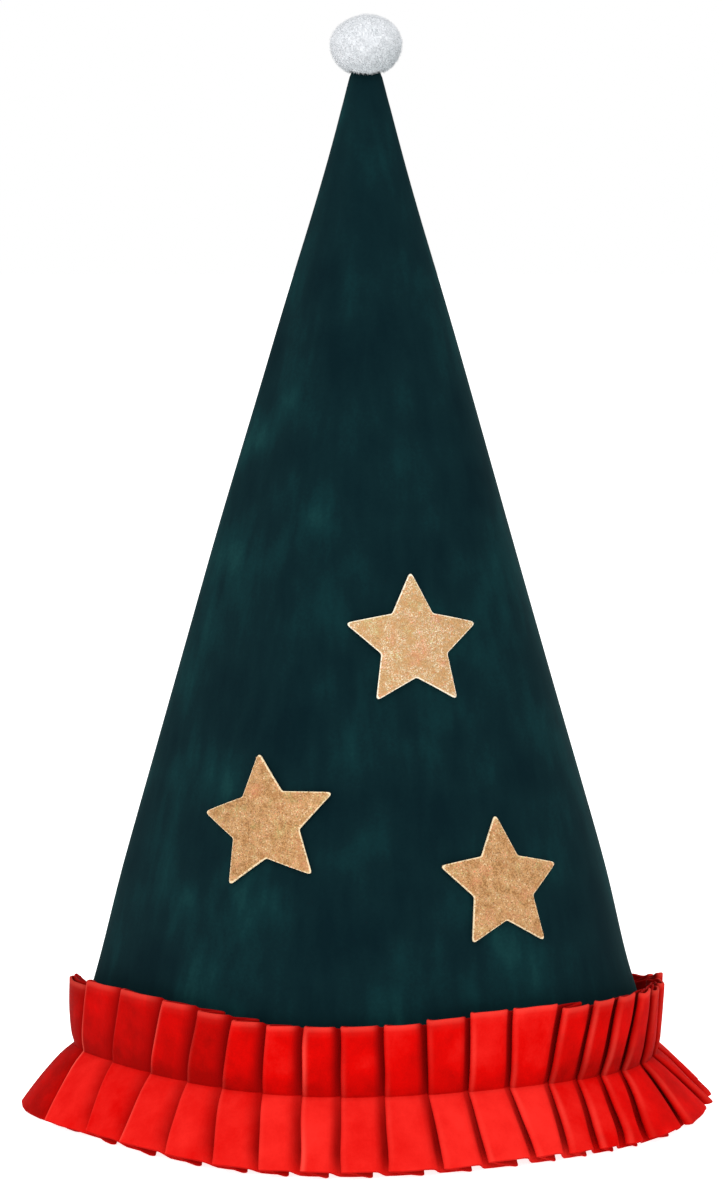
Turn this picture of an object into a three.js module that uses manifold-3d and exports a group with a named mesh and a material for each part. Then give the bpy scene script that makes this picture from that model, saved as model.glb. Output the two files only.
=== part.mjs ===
// An elf hat to dress up in: a tall velvet cone with a pleated ruffle, three stars and a pompom.
//
// Millimetres, +Z up. The hat stands on the hem of its ruffle, with the stars to the front, -Y.
// A turn is an angle round the hat in radians: 0 at the front, growing towards +X.
// A rise is a share of the way up the crown's straight face, from the seam (0) to the tip (1).

import * as THREE from 'three';
import { mergeVertices } from 'three/addons/utils/BufferGeometryUtils.js';
import Module from 'manifold-3d';

// Rim: the crown's outer face on the line where the ruffle is stitched to it
const RIM_HALF_WIDTH = 101.4;
const RIM_HALF_DEPTH = 78.2;
const RIM_PINCH = 0.26; // share by which the two ends are thinner than an ellipse's
const RIM_SKEW = 0.11; // share by which the -X half is deeper near the middle
const RIM_EGG = 0.36; // share by which the +X end is fuller than the -X end

// Seam: the height of that line above the floor
const SEAM_HEIGHT = 21.5; // at the two sides
const SEAM_ARCH = 1.8; // how much higher it runs at the front and the back
const SEAM_SLANT = 0.4; // how much lower it runs at the +X end than halfway

// Crown
const CROWN_TOP = 368;
const CROWN_WALL = 2;
const TIP_RADIUS = 4.9;
const CROWN_HEM = 6; // how far the crown runs on below the seam
const GATHER = 3.3; // how far the ruffle's stitches draw the crown in
const GATHER_REACH = 24; // height above the seam where the crown is straight again

// Ruffle: one strip of cloth, folded in pleats and stitched along its middle
const SEW_GAP = 0.3; // between the crown and the strip's back
const RUFFLE_WALL = 1.1;
const LAYER_GAP = 0.35; // between the layers of a fold at the seam
const UPPER_HEIGHT = 26.4; // top edge above the seam
const UPPER_SLANT = 0.75; // how much higher the top edge runs at the +X end than halfway
const UPPER_LEAN = 0.4; // how far the top edge stands out beyond the seam
const TUCK_START = 0.08; // where the top edge starts to lean in along the crown, as a share of
const TUCK_END = 0.5; // the way from side to back, and where it follows the crown fully
const BACK_SAG = 7; // how much lower the top edge runs behind, where the frill sags
const SAG_END = 0.3; // share of the way from side to back where it has sagged that far
const LOWER_FLARE = 16.2; // how far the hem stands out beyond the seam
const TOP_SWELL = 1.6; // how much deeper the pleats are at the top edge than at the seam
const HEM_SWELL = 2.2; // and at the hem
const HEM_LIFT = 2.2; // how far the hem is off the floor at the folds
const UNDERLAP = 2.4; // how far each panel runs under its neighbour
const PLEAT_PITCH = 14; // usual distance between two folds
const FIRST_FOLD_DEG = -94.5; // turn of the first fold that the front shows

// Pleats across the front, from the first fold on, in shares of the usual pitch. wide: width;
// topLean, hemLean: how far the fold has moved to the right at the top edge and at the hem;
// tall: how many millimetres higher than usual its top edge stands
const FRONT_PLEATS = [
  { wide: 1.07, topLean: 0.2, hemLean: 0.2, tall: 0 },
  { wide: 1.45, topLean: 0.55, hemLean: 0.45, tall: 1.6 },
  { wide: 1.57, topLean: 0.54, hemLean: 0.7, tall: 1.8 },
  { wide: 1.3, topLean: 0.58, hemLean: 0.38, tall: 1.3 },
  { wide: 1.07, topLean: 0.41, hemLean: 0.42, tall: 0 },
  { wide: 1.09, topLean: 0.37, hemLean: 0.5, tall: -1.4 },
  { wide: 0.97, topLean: 0.14, hemLean: 0.39, tall: -2 },
  { wide: 0.91, topLean: 0.05, hemLean: 0.18, tall: -2 },
  { wide: 1.02, topLean: 0, hemLean: 0, tall: -1.8 },
  { wide: 1.06, topLean: 0, hemLean: -0.1, tall: -1.7 },
  { wide: 1.01, topLean: -0.06, hemLean: 0, tall: -0.5 },
  { wide: 1.09, topLean: 0, hemLean: 0, tall: 0.7 },
  { wide: 1.07, topLean: 0.06, hemLean: 0.06, tall: 0.9 },
  { wide: 0.84, topLean: 0.34, hemLean: -0.17, tall: -0.8 },
  { wide: 0.75, topLean: 0.49, hemLean: -0.22, tall: 0 },
  { wide: 0.75, topLean: 0.54, hemLean: -0.35, tall: 0 },
  { wide: 0.95, topLean: 0.57, hemLean: -0.45, tall: 0 },
  { wide: 0.95, topLean: 0.5, hemLean: -0.5, tall: 0 },
  { wide: 1, topLean: 0.3, hemLean: -0.3, tall: 0 },
  { wide: 1, topLean: 0.1, hemLean: -0.1, tall: 0 },
];
const BACK_VARIATION = 0.08; // the pleats behind differ in width by up to this share
const BACK_BEAT = 2.4; // how fast their widths come and go, in radians a pleat

// Section along one pleat. panels: whole panels to the right of its fold; laps: underlaps more;
// raise: share of the pleat's depth out from the crown; lift: share of the hem's lift
const PLEAT_SECTION = [
  { name: 'under the fold', panels: 0, laps: 0.3, raise: 0.5, lift: 0.5 },
  { name: 'fold edge', panels: 0, laps: 0, raise: 0.75, lift: 0.8 },
  { name: 'over the fold', panels: 0, laps: 0.3, raise: 1, lift: 1 },
  { name: 'mid panel', panels: 0.5, laps: 0, raise: 0.64, lift: 0.45 },
  { name: 'panel end', panels: 1, laps: -0.25, raise: 0.05, lift: 0 },
  { name: 'underlap', panels: 1, laps: 0.7, raise: 0, lift: 0 },
  { name: 'inner fold', panels: 1, laps: 1, raise: 0.25, lift: 0 },
  { name: 'return', panels: 1, laps: 0.7, raise: 0.5, lift: 0.2 },
];

// Rows of the strip. climb: share of the frill's height, down to the hem or up to the top edge;
// out: share of the flare or lean; swell: share of the pleats' added depth
const RUFFLE_ROWS = [
  { name: 'hem', climb: -1, out: 1, swell: 1 },
  { name: 'lower frill', climb: -0.5, out: 0.5, swell: 0.62 },
  { name: 'seam', climb: 0, out: 0, swell: 0 },
  { name: 'upper frill', climb: 0.5, out: 1.4, swell: 0.85 },
  { name: 'top edge', climb: 1, out: 1, swell: 1 },
];

// Stars: glittered cloth patches on the crown's front
const STAR_WALL = 1;
const STAR_GAP = 0.3; // between a patch and the crown
const STAR_RADIUS = 24.8; // to where the tips would meet if they were sharp
const STAR_WAIST = 0.53; // inner radius as a share of the outer one
const STAR_TIP_ROUND = 2.2; // how far the rounding starts from a sharp tip
const STAR_POINTS = 5;
const STARS = [
  { name: 'star_upper', turnDeg: 15.3, rise: 0.432, rollDeg: -1.2 },
  { name: 'star_left', turnDeg: -24.4, rise: 0.256, rollDeg: 14.3 },
  { name: 'star_right', turnDeg: 33.2, rise: 0.195, rollDeg: -5.6 },
];

// Pompom: a bundle of yarn locks tied over the tip
const POMPOM_RADIUS = 12.6;
const POMPOM_HALF_HEIGHT = 11.3;
const POMPOM_SEAT = 3.6; // how far the tip reaches up into it
const POMPOM_GAP = 0.3;
const POMPOM_LOCKS = 46;
const LOCK_RADIUS = 2.3;
const LOCK_ROOT = 0.5; // where a lock starts, as a share of its reach from the middle
const LOCK_SHOULDER = 0.88; // where it is widest
const LOCK_ROOT_WIDTH = 0.7; // its width at the root, as a share of its widest
const LOCK_UNEVEN = 0.9; // how much shorter than the rest the shortest lock is
const LOCK_BEAT = 3.7; // how fast their lengths come and go, in radians a lock
const CORE_SHARE = 0.84; // radius of the packed yarn, as a share of the pompom's

// Fineness of the meshes
const RIM_STEPS = 720;
const CROWN_COLUMNS = 54;
const GATHER_BANDS = 3;
const STRAIGHT_BANDS = 7;
const LINING_BANDS = 6;
const STAR_RINGS = [0.4, 0.75];
const LOCK_SIDES = 5;
const CORE_DETAIL = 2;
const SOCKET_SIDES = 24;
const MERGE_DISTANCE = 1e-4;
const GOLDEN_TURN = Math.PI * (3 - Math.sqrt(5));

const COLOURS = { velvet: 0x11262b, ruffle: 0xd70a05, glitter: 0xe1b982, yarn: 0xe8e9ee };

// Rim outline in plan: an ellipse whose depth is pinched at the ends, more so towards -X
const fullness = (side) => 1 - RIM_SKEW * side - RIM_PINCH * side ** 2 + RIM_EGG * side ** 3;

function eggPoint(turn, halfWidth, halfDepth) {
  const side = Math.sin(turn);
  return new THREE.Vector2(halfWidth * side, -halfDepth * Math.cos(turn) * fullness(side));
}

function eggTangent(turn, halfWidth, halfDepth) {
  const side = Math.sin(turn);
  const filling = -RIM_SKEW - 2 * RIM_PINCH * side + 3 * RIM_EGG * side ** 2;
  const deepening = side * fullness(side) - Math.cos(turn) ** 2 * filling;
  return new THREE.Vector2(halfWidth * Math.cos(turn), halfDepth * deepening);
}

const outward = (tangent) => new THREE.Vector2(tangent.y, -tangent.x).normalize();

const rimPoint = (turn) => eggPoint(turn, RIM_HALF_WIDTH, RIM_HALF_DEPTH);
const rimNormal = (turn) => outward(eggTangent(turn, RIM_HALF_WIDTH, RIM_HALF_DEPTH));

function seamHeight(turn) {
  return SEAM_HEIGHT + SEAM_ARCH * Math.cos(turn) ** 2 - SEAM_SLANT * Math.sin(turn);
}

// Distance along the rim from the front, at evenly spaced turns
const rimLengths = [0];
for (let step = 1; step <= RIM_STEPS; step += 1) {
  const from = rimPoint((2 * Math.PI * (step - 1)) / RIM_STEPS);
  const to = rimPoint((2 * Math.PI * step) / RIM_STEPS);
  rimLengths.push(rimLengths[step - 1] + from.distanceTo(to));
}
const RIM_LENGTH = rimLengths[RIM_STEPS];

function lengthAt(turn) {
  const steps = (turn / (2 * Math.PI)) * RIM_STEPS;
  const laps = Math.floor(steps / RIM_STEPS);
  const within = steps - laps * RIM_STEPS;
  const low = Math.min(Math.floor(within), RIM_STEPS - 1);
  const part = THREE.MathUtils.lerp(rimLengths[low], rimLengths[low + 1], within - low);
  return laps * RIM_LENGTH + part;
}

function turnAt(length) {
  const laps = Math.floor(length / RIM_LENGTH);
  const within = length - laps * RIM_LENGTH;
  let low = 0;
  let high = RIM_STEPS;
  while (high - low > 1) {
    const middle = (low + high) >> 1;
    if (rimLengths[middle] > within) high = middle;
    else low = middle;
  }
  const part = (within - rimLengths[low]) / (rimLengths[high] - rimLengths[low]);
  return 2 * Math.PI * (laps + (low + part) / RIM_STEPS);
}

// Crown's outer face at a turn and a height. Straight lines run from the rim, let out by what
// the stitches gather in, up to a small round tip
function crownPoint(turn, z, inset = 0) {
  const seam = seamHeight(turn);
  const rise = THREE.MathUtils.clamp((z - seam) / (CROWN_TOP - seam), 0, 1);
  const width = RIM_HALF_WIDTH + GATHER;
  const depth = RIM_HALF_DEPTH + GATHER;
  const tip = new THREE.Vector2(Math.sin(turn), -Math.cos(turn)).multiplyScalar(TIP_RADIUS);
  const tipTangent = new THREE.Vector2(Math.cos(turn), Math.sin(turn)).multiplyScalar(TIP_RADIUS);
  const facing = outward(eggTangent(turn, width, depth).lerp(tipTangent, rise));
  const eased = THREE.MathUtils.clamp(1 - (z - seam) / GATHER_REACH, 0, 1);
  const plan = eggPoint(turn, width, depth).lerp(tip, rise);
  plan.addScaledVector(facing, -GATHER * eased ** 2 - inset);
  return new THREE.Vector3(plan.x, plan.y, z);
}

const heightAt = (turn, rise) => THREE.MathUtils.lerp(seamHeight(turn), CROWN_TOP, rise);

// Point on the crown at a turn and a rise, moved out square to its face
function pointOverCrown(turn, rise, out) {
  const step = 1e-3;
  const here = crownPoint(turn, heightAt(turn, rise));
  const along = crownPoint(turn + step, heightAt(turn + step, rise)).sub(here);
  const up = crownPoint(turn, heightAt(turn, rise + step)).sub(here);
  return here.addScaledVector(along.cross(up).normalize(), out);
}

// Closed surface through rows of points, each row running the same way round. A row of one
// point closes an end, and wrap joins the last row to the first
function skin(rows, wrap = false) {
  const positions = [];
  const starts = [];
  for (const row of rows) {
    starts.push(positions.length / 3);
    for (const point of row) positions.push(point.x, point.y, point.z);
  }
  const index = [];
  const bands = wrap ? rows.length : rows.length - 1;
  for (let band = 0; band < bands; band += 1) {
    const next = (band + 1) % rows.length;
    const count = Math.max(rows[band].length, rows[next].length);
    for (let column = 0; column < count; column += 1) {
      const after = (column + 1) % count;
      const lower = (at) => starts[band] + (rows[band].length > 1 ? at : 0);
      const upper = (at) => starts[next] + (rows[next].length > 1 ? at : 0);
      if (rows[band].length > 1) index.push(lower(column), lower(after), upper(after));
      if (rows[next].length > 1) index.push(lower(column), upper(after), upper(column));
    }
  }
  const geometry = new THREE.BufferGeometry();
  geometry.setAttribute('position', new THREE.Float32BufferAttribute(positions, 3));
  geometry.setIndex(index);
  geometry.computeVertexNormals();
  return geometry;
}

const ring = (count, pointAt) => Array.from({ length: count }, (_, at) => pointAt(at));

function makeMesh(name, geometry, color, roughness) {
  const mesh = new THREE.Mesh(
    geometry,
    new THREE.MeshStandardMaterial({ color, roughness, metalness: 0 }),
  );
  mesh.name = name;
  return mesh;
}

// Crown: an open cone of cloth, closed at the tip. Its rows run up the outer face and down the
// lining side
function makeCrown() {
  const turnOf = (column) => (2 * Math.PI * column) / CROWN_COLUMNS;
  const innerTop = CROWN_TOP - CROWN_WALL;
  const gatherRise = GATHER_REACH / (CROWN_TOP - SEAM_HEIGHT - SEAM_ARCH);
  const outerRises = [];
  for (let band = 0; band <= GATHER_BANDS; band += 1) {
    outerRises.push((gatherRise * band) / GATHER_BANDS);
  }
  for (let band = 1; band <= STRAIGHT_BANDS; band += 1) {
    outerRises.push(THREE.MathUtils.lerp(gatherRise, 1, band / STRAIGHT_BANDS));
  }
  const lineRow = (rise) =>
    ring(CROWN_COLUMNS, (column) => {
      const z = Math.min(heightAt(turnOf(column), rise), innerTop);
      return crownPoint(turnOf(column), z, CROWN_WALL);
    });
  const faceRow = (rise) =>
    ring(CROWN_COLUMNS, (column) => crownPoint(turnOf(column), heightAt(turnOf(column), rise)));
  const hemRow = (inset) =>
    ring(CROWN_COLUMNS, (column) => {
      const turn = turnOf(column);
      return crownPoint(turn, seamHeight(turn) - CROWN_HEM, inset);
    });
  const innerRises = [0, gatherRise / 2];
  for (let band = 0; band <= LINING_BANDS; band += 1) {
    innerRises.push(THREE.MathUtils.lerp(gatherRise, 1, band / LINING_BANDS));
  }
  const rows = [
    [new THREE.Vector3(0, 0, innerTop)],
    ...innerRises.reverse().map(lineRow),
    hemRow(CROWN_WALL),
    hemRow(0),
    ...outerRises.map(faceRow),
    [new THREE.Vector3(0, 0, CROWN_TOP)],
  ];
  return makeMesh('crown', skin(rows), COLOURS.velvet, 0.9);
}

// Where each pleat's fold is along the rim in one row, how wide the pleat is there and how much
// higher than usual it stands
function layOutPleats(climb) {
  const pleats = FRONT_PLEATS.map(({ wide, topLean, hemLean, tall }) => ({
    width: wide * PLEAT_PITCH,
    lean: (climb < 0 ? hemLean : topLean) * PLEAT_PITCH * Math.abs(climb),
    tall,
  }));
  const front = pleats.reduce((sum, pleat) => sum + pleat.width, 0);
  const behind = Math.max(1, Math.round((RIM_LENGTH - front) / PLEAT_PITCH));
  const shares = ring(behind, (at) => 1 + BACK_VARIATION * Math.sin(BACK_BEAT * at));
  const total = shares.reduce((sum, share) => sum + share, 0);
  for (const share of shares) {
    pleats.push({ width: ((RIM_LENGTH - front) * share) / total, lean: 0, tall: 0 });
  }
  let length = lengthAt(THREE.MathUtils.degToRad(FIRST_FOLD_DEG));
  return pleats.map(({ width, lean, tall }, at) => {
    const fold = length + lean;
    length += width;
    return { fold, tall, width: length + pleats[(at + 1) % pleats.length].lean - fold };
  });
}

// Middle line of the strip's cloth in one row, through every pleat in turn
function ruffleLine(row) {
  const stitched = 2 * (RUFFLE_WALL + LAYER_GAP);
  const swell = row.climb < 0 ? HEM_SWELL : TOP_SWELL;
  const line = [];
  for (const pleat of layOutPleats(row.climb)) {
    for (const part of PLEAT_SECTION) {
      const turn = turnAt(pleat.fold + part.panels * pleat.width + part.laps * UNDERLAP);
      const seam = seamHeight(turn);
      const sag = BACK_SAG * THREE.MathUtils.smoothstep(-Math.cos(turn), 0, SAG_END);
      const upper = UPPER_HEIGHT + UPPER_SLANT * Math.sin(turn) + pleat.tall - sag;
      const tall = row.climb < 0 ? seam - part.lift * HEM_LIFT : upper;
      const z = seam + row.climb * tall;
      const behind = THREE.MathUtils.smoothstep(-Math.cos(turn), TUCK_START, TUCK_END);
      const tuck = row.climb > 0 ? behind : 0;
      const reach = row.out * (row.climb < 0 ? LOWER_FLARE : UPPER_LEAN);
      const raise = part.raise * (stitched + row.swell * swell);
      const out = SEW_GAP + RUFFLE_WALL / 2 + reach + raise;
      const plan = rimPoint(turn).lerp(crownPoint(turn, z), tuck);
      plan.addScaledVector(rimNormal(turn), out);
      const slope = row.climb < 0 ? Math.hypot(1, LOWER_FLARE / seam) : 1;
      line.push({ plan, z, half: (RUFFLE_WALL / 2) * slope });
    }
  }
  return line;
}

// One face of the strip in one row: its middle line moved across by half the cloth's thickness,
// mitred at each corner
function ruffleFace(line, side) {
  const count = line.length;
  return ring(count, (at) => {
    const here = line[at].plan;
    const before = outward(here.clone().sub(line[(at + count - 1) % count].plan));
    const after = outward(line[(at + 1) % count].plan.clone().sub(here));
    const mitre = before.clone().add(after).divideScalar(1 + before.dot(after));
    const moved = here.clone().addScaledVector(mitre, side * line[at].half);
    return new THREE.Vector3(moved.x, moved.y, line[at].z);
  });
}

function makeRuffle() {
  const lines = RUFFLE_ROWS.map(ruffleLine);
  const outer = lines.map((line) => ruffleFace(line, 1));
  const inner = lines.map((line) => ruffleFace(line, -1)).reverse();
  return makeMesh('ruffle', skin([...outer, ...inner], true), COLOURS.ruffle, 0.85);
}

// Outline of a star about its centre, each tip rounded over by a short curve
function starOutline() {
  const corner = (at, radius) => {
    const angle = Math.PI / 2 + (Math.PI * at) / STAR_POINTS;
    return new THREE.Vector2(Math.cos(angle), Math.sin(angle)).multiplyScalar(radius);
  };
  const outline = [];
  for (let at = 0; at < 2 * STAR_POINTS; at += 2) {
    const waist = corner(at - 1, STAR_RADIUS * STAR_WAIST);
    const tip = corner(at, STAR_RADIUS);
    const nextWaist = corner(at + 1, STAR_RADIUS * STAR_WAIST);
    const back = STAR_TIP_ROUND / tip.distanceTo(waist);
    const start = tip.clone().lerp(waist, back);
    const end = tip.clone().lerp(nextWaist, back);
    const crest = new THREE.QuadraticBezierCurve(start, tip, end).getPoint(0.5);
    outline.push(waist, waist.clone().lerp(tip, 0.5), start, crest, end);
    outline.push(tip.clone().lerp(nextWaist, 0.5));
  }
  return outline;
}

// Lays a flat point of a patch on the crown. The crown's face unrolls to a fan round the point
// where its straight lines would meet
function layOnCrown(star, flat, out) {
  const halfWidth = RIM_HALF_WIDTH + GATHER;
  const fanRise = halfWidth / (halfWidth - TIP_RADIUS);
  const slant = Math.hypot(halfWidth - TIP_RADIUS, CROWN_TOP - SEAM_HEIGHT);
  const fanRadius = slant * fanRise;
  const centre = fanRadius * (1 - star.rise / fanRise);
  const rolled = flat.clone().rotateAround(
    new THREE.Vector2(),
    THREE.MathUtils.degToRad(star.rollDeg),
  );
  const radius = Math.hypot(rolled.x, centre - rolled.y);
  const swing = Math.atan2(rolled.x, centre - rolled.y);
  const start = lengthAt(THREE.MathUtils.degToRad(star.turnDeg));
  const turn = turnAt(start + swing * fanRadius);
  return pointOverCrown(turn, fanRise * (1 - radius / fanRadius), out);
}

function makeStar(star) {
  const outline = starOutline();
  const row = (scale, out) =>
    outline.map((flat) => layOnCrown(star, flat.clone().multiplyScalar(scale), out));
  const middle = (out) => [layOnCrown(star, new THREE.Vector2(), out)];
  const face = STAR_GAP + STAR_WALL;
  const rows = [
    middle(STAR_GAP),
    ...STAR_RINGS.map((scale) => row(scale, STAR_GAP)),
    row(1, STAR_GAP),
    row(1, face),
    ...[...STAR_RINGS].reverse().map((scale) => row(scale, face)),
    middle(face),
  ];
  return makeMesh(star.name, skin(rows), COLOURS.glitter, 0.6);
}

const wasm = await Module();
wasm.setup();

function toSolid(geometry) {
  const bare = geometry.clone();
  bare.deleteAttribute('normal');
  bare.deleteAttribute('uv');
  const merged = mergeVertices(bare, MERGE_DISTANCE);
  return new wasm.Manifold(
    new wasm.Mesh({
      numProp: 3,
      vertProperties: new Float32Array(merged.attributes.position.array),
      triVerts: new Uint32Array(merged.index.array),
    }),
  );
}

function toGeometry(solid) {
  const mesh = solid.getMesh();
  const geometry = new THREE.BufferGeometry();
  geometry.setAttribute('position', new THREE.BufferAttribute(mesh.vertProperties, 3));
  geometry.setIndex(new THREE.BufferAttribute(mesh.triVerts, 1));
  geometry.computeVertexNormals();
  return geometry;
}

// A blunt lock of yarn, pointing out from the pompom's middle
function makeLock(direction, reach) {
  const profile = [
    new THREE.Vector2(0, reach * LOCK_ROOT),
    new THREE.Vector2(LOCK_RADIUS * LOCK_ROOT_WIDTH, reach * LOCK_ROOT),
    new THREE.Vector2(LOCK_RADIUS, reach * LOCK_SHOULDER),
    new THREE.Vector2(0, reach),
  ];
  const lock = new THREE.LatheGeometry(profile, LOCK_SIDES);
  const up = new THREE.Vector3(0, 1, 0);
  lock.applyQuaternion(new THREE.Quaternion().setFromUnitVectors(up, direction));
  return lock;
}

// The room that the crown's tip takes up in the pompom, from just over the tip down past its foot
function makeSocket() {
  const foot = CROWN_TOP - 2 * POMPOM_HALF_HEIGHT;
  const over = (z) => crownPoint(Math.PI / 2, z).x + POMPOM_GAP;
  const profile = [
    new THREE.Vector2(0, foot),
    new THREE.Vector2(over(foot), foot),
    new THREE.Vector2(over(CROWN_TOP), CROWN_TOP + POMPOM_GAP),
    new THREE.Vector2(0, CROWN_TOP + POMPOM_GAP),
  ];
  return new THREE.LatheGeometry(profile, SOCKET_SIDES).rotateX(Math.PI / 2);
}

function makePompom() {
  const middle = CROWN_TOP - POMPOM_SEAT + POMPOM_HALF_HEIGHT;
  let ball = toSolid(new THREE.IcosahedronGeometry(POMPOM_RADIUS * CORE_SHARE, CORE_DETAIL));
  for (let at = 0; at < POMPOM_LOCKS; at += 1) {
    const height = 1 - (2 * at) / (POMPOM_LOCKS - 1);
    const radius = Math.sqrt(1 - height ** 2);
    const turn = at * GOLDEN_TURN;
    const direction = new THREE.Vector3(
      radius * Math.cos(turn),
      radius * Math.sin(turn),
      height,
    );
    const shorter = LOCK_UNEVEN * (0.5 - 0.5 * Math.cos(LOCK_BEAT * at));
    ball = ball.add(toSolid(makeLock(direction, POMPOM_RADIUS - shorter)));
  }
  const squash = POMPOM_HALF_HEIGHT / POMPOM_RADIUS;
  const placed = ball.scale([1, 1, squash]).translate([0, 0, middle]);
  const seated = placed.subtract(toSolid(makeSocket()));
  return makeMesh('pompom', toGeometry(seated), COLOURS.yarn, 1);
}

const hat = new THREE.Group();
hat.add(makeCrown(), makeRuffle(), ...STARS.map(makeStar), makePompom());

// The hat is centred over the floor's origin, with its lowest feet on the floor
const bounds = new THREE.Box3().setFromObject(hat);
const centre = bounds.getCenter(new THREE.Vector3());
hat.position.set(-centre.x, -centre.y, -bounds.min.z);
hat.updateMatrixWorld(true);

export default hat;
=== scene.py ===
"""An elf hat: a tall velvet cone with a pleated velvet ruffle, three glitter stars and a pompom.

The hat stands on the hem of its ruffle, stars to the front (-Y), +Z up. Sizes are millimetres in
the classes and become metres where a mesh is made. A turn is an angle round the hat in radians,
0 at the front and growing towards +X.
"""

import logging
import math
from collections.abc import Sequence
from dataclasses import dataclass, field, replace
from enum import Enum
from functools import partial
from typing import Any

import bmesh
import bpy
import numpy as np
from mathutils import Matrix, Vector


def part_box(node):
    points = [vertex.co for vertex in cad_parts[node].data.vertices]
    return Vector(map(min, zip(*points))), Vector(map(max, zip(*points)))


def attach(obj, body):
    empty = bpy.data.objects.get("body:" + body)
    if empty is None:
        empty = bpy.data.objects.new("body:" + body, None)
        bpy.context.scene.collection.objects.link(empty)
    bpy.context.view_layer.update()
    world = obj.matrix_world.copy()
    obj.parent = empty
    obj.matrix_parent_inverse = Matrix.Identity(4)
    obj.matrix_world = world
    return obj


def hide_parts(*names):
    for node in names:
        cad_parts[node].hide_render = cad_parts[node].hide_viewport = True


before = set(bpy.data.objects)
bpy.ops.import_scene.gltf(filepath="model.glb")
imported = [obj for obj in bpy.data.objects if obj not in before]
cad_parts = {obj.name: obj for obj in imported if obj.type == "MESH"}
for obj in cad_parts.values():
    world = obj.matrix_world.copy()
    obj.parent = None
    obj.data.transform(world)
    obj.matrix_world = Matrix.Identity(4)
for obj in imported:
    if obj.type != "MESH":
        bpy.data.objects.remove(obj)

MM = 0.001
BODY = "root"
PILE_RELIEF = 0.4 * MM  # how far the velvets' bump stands up
SMALLEST_COPY, LARGEST_COPY = 0.7, 1.15  # sizes of sown flakes and fibres beside the usual one
TINT_SEED = 7

log = logging.getLogger("elf_hat")


class Slot(Enum):
    """Names for the four finishes."""

    CROWN = "crown_velvet"
    RUFFLE = "ruffle_velvet"
    STAR = "star_glitter"
    POMPOM = "pompom_yarn"


# Small helpers


def linear(hex_colour: str) -> tuple[float, float, float, float]:
    """Turns an sRGB hex colour into a linear one.

    Args:
        hex_colour: Six hex digits after a hash.

    Returns:
        Red, green, blue and an alpha of one.
    """
    channels = [int(hex_colour[at : at + 2], 16) / 255 for at in (1, 3, 5)]
    curve = [c / 12.92 if c <= 0.04045 else ((c + 0.055) / 1.055) ** 2.4 for c in channels]
    return (*curve, 1.0)


def add_node(
    tree: bpy.types.NodeTree,
    kind: str,
    values: dict[Any, Any] | None = None,
    links: dict[Any, bpy.types.NodeSocket] | None = None,
    **settings: Any,
) -> bpy.types.Node:
    """Adds one node to a tree.

    Args:
        tree: The node tree.
        kind: The node's type name.
        values: Values of its unlinked inputs, by name or place.
        links: Output sockets that feed its inputs, by name or place.
        **settings: The node's own settings.

    Returns:
        The new node.
    """
    node = tree.nodes.new(kind)
    for name, value in settings.items():
        setattr(node, name, value)
    set_inputs(node, values or {})
    for socket, source in (links or {}).items():
        tree.links.new(source, node.inputs[socket])
    return node


def set_inputs(node: bpy.types.Node, values: dict[Any, Any]) -> None:
    """Sets unlinked inputs of a node, by name or place."""
    for socket, value in values.items():
        node.inputs[socket].default_value = value


def new_material(
    name: str,
) -> tuple[bpy.types.Material, bpy.types.NodeTree, bpy.types.Node]:
    """Starts a material.

    Args:
        name: The real material's name.

    Returns:
        The material, its node tree and its main shader.
    """
    material = bpy.data.materials.new(name)
    material.use_nodes = True
    return material, material.node_tree, material.node_tree.nodes["Principled BSDF"]


def set_ramp(ramp: bpy.types.Node, stops: Sequence[tuple[float, str]]) -> None:
    """Gives a colour ramp its stops.

    Args:
        ramp: The colour ramp node.
        stops: Place and sRGB hex colour of each stop, in order.
    """
    elements = ramp.color_ramp.elements
    while len(elements) < len(stops):
        elements.new(0.5)
    for element, (place, colour) in zip(elements, stops):
        element.position = place
        element.color = linear(colour)


def noise_sizes(wave_mm: float, detail: float, roughness: float) -> dict[str, float]:
    """Values of a noise texture whose waves have a real size.

    Args:
        wave_mm: The length of its waves.
        detail: Its number of finer layers.
        roughness: How strong the finer layers are.

    Returns:
        The values, by the names of its inputs.
    """
    return {"Scale": 1 / (wave_mm * MM), "Detail": detail, "Roughness": roughness}


def range_ends(
    span: tuple[float, float], ends: tuple[float, float] = (0.0, 1.0)
) -> dict[str, float]:
    """Values that map a number from one span to another.

    Args:
        span: Where the number starts and where it ends.
        ends: What it becomes there.

    Returns:
        The values, by the names of the inputs of a map range.
    """
    return dict(zip(("From Min", "From Max", "To Min", "To Max"), (*span, *ends)))


def add_pile(
    tree: bpy.types.NodeTree,
    shader: bpy.types.Node,
    colour: bpy.types.NodeSocket,
    relief: bpy.types.NodeSocket,
    strength: float,
) -> None:
    """Gives a velvet's shader its colour and the relief of its pile.

    Args:
        tree: The node tree.
        shader: The velvet's shader.
        colour: Its colour.
        relief: The height of its pile.
        strength: How strongly the relief shows.
    """
    values = {"Strength": strength, "Distance": PILE_RELIEF}
    bump = add_node(tree, "ShaderNodeBump", values, {"Height": relief})
    tree.links.new(colour, shader.inputs["Base Color"])
    tree.links.new(bump.outputs["Normal"], shader.inputs["Normal"])


def through_middle(share: np.ndarray, middle: float) -> np.ndarray:
    """A smooth curve from 0 at 0 to 1 at 1 that passes a given value halfway.

    Args:
        share: Places from 0 to 1.
        middle: Its value at a half.

    Returns:
        The curve's values.
    """
    slope = 4 * middle - 1
    return share * (slope - (slope - 1) * share)


def ease(value: np.ndarray, low: float, high: float) -> np.ndarray:
    """Smooth step from 0 at low to 1 at high.

    Args:
        value: Values to ease.
        low: Where the step starts.
        high: Where it ends.

    Returns:
        The eased values.
    """
    share = np.clip((value - low) / (high - low), 0, 1)
    return share * share * (3 - 2 * share)


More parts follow.
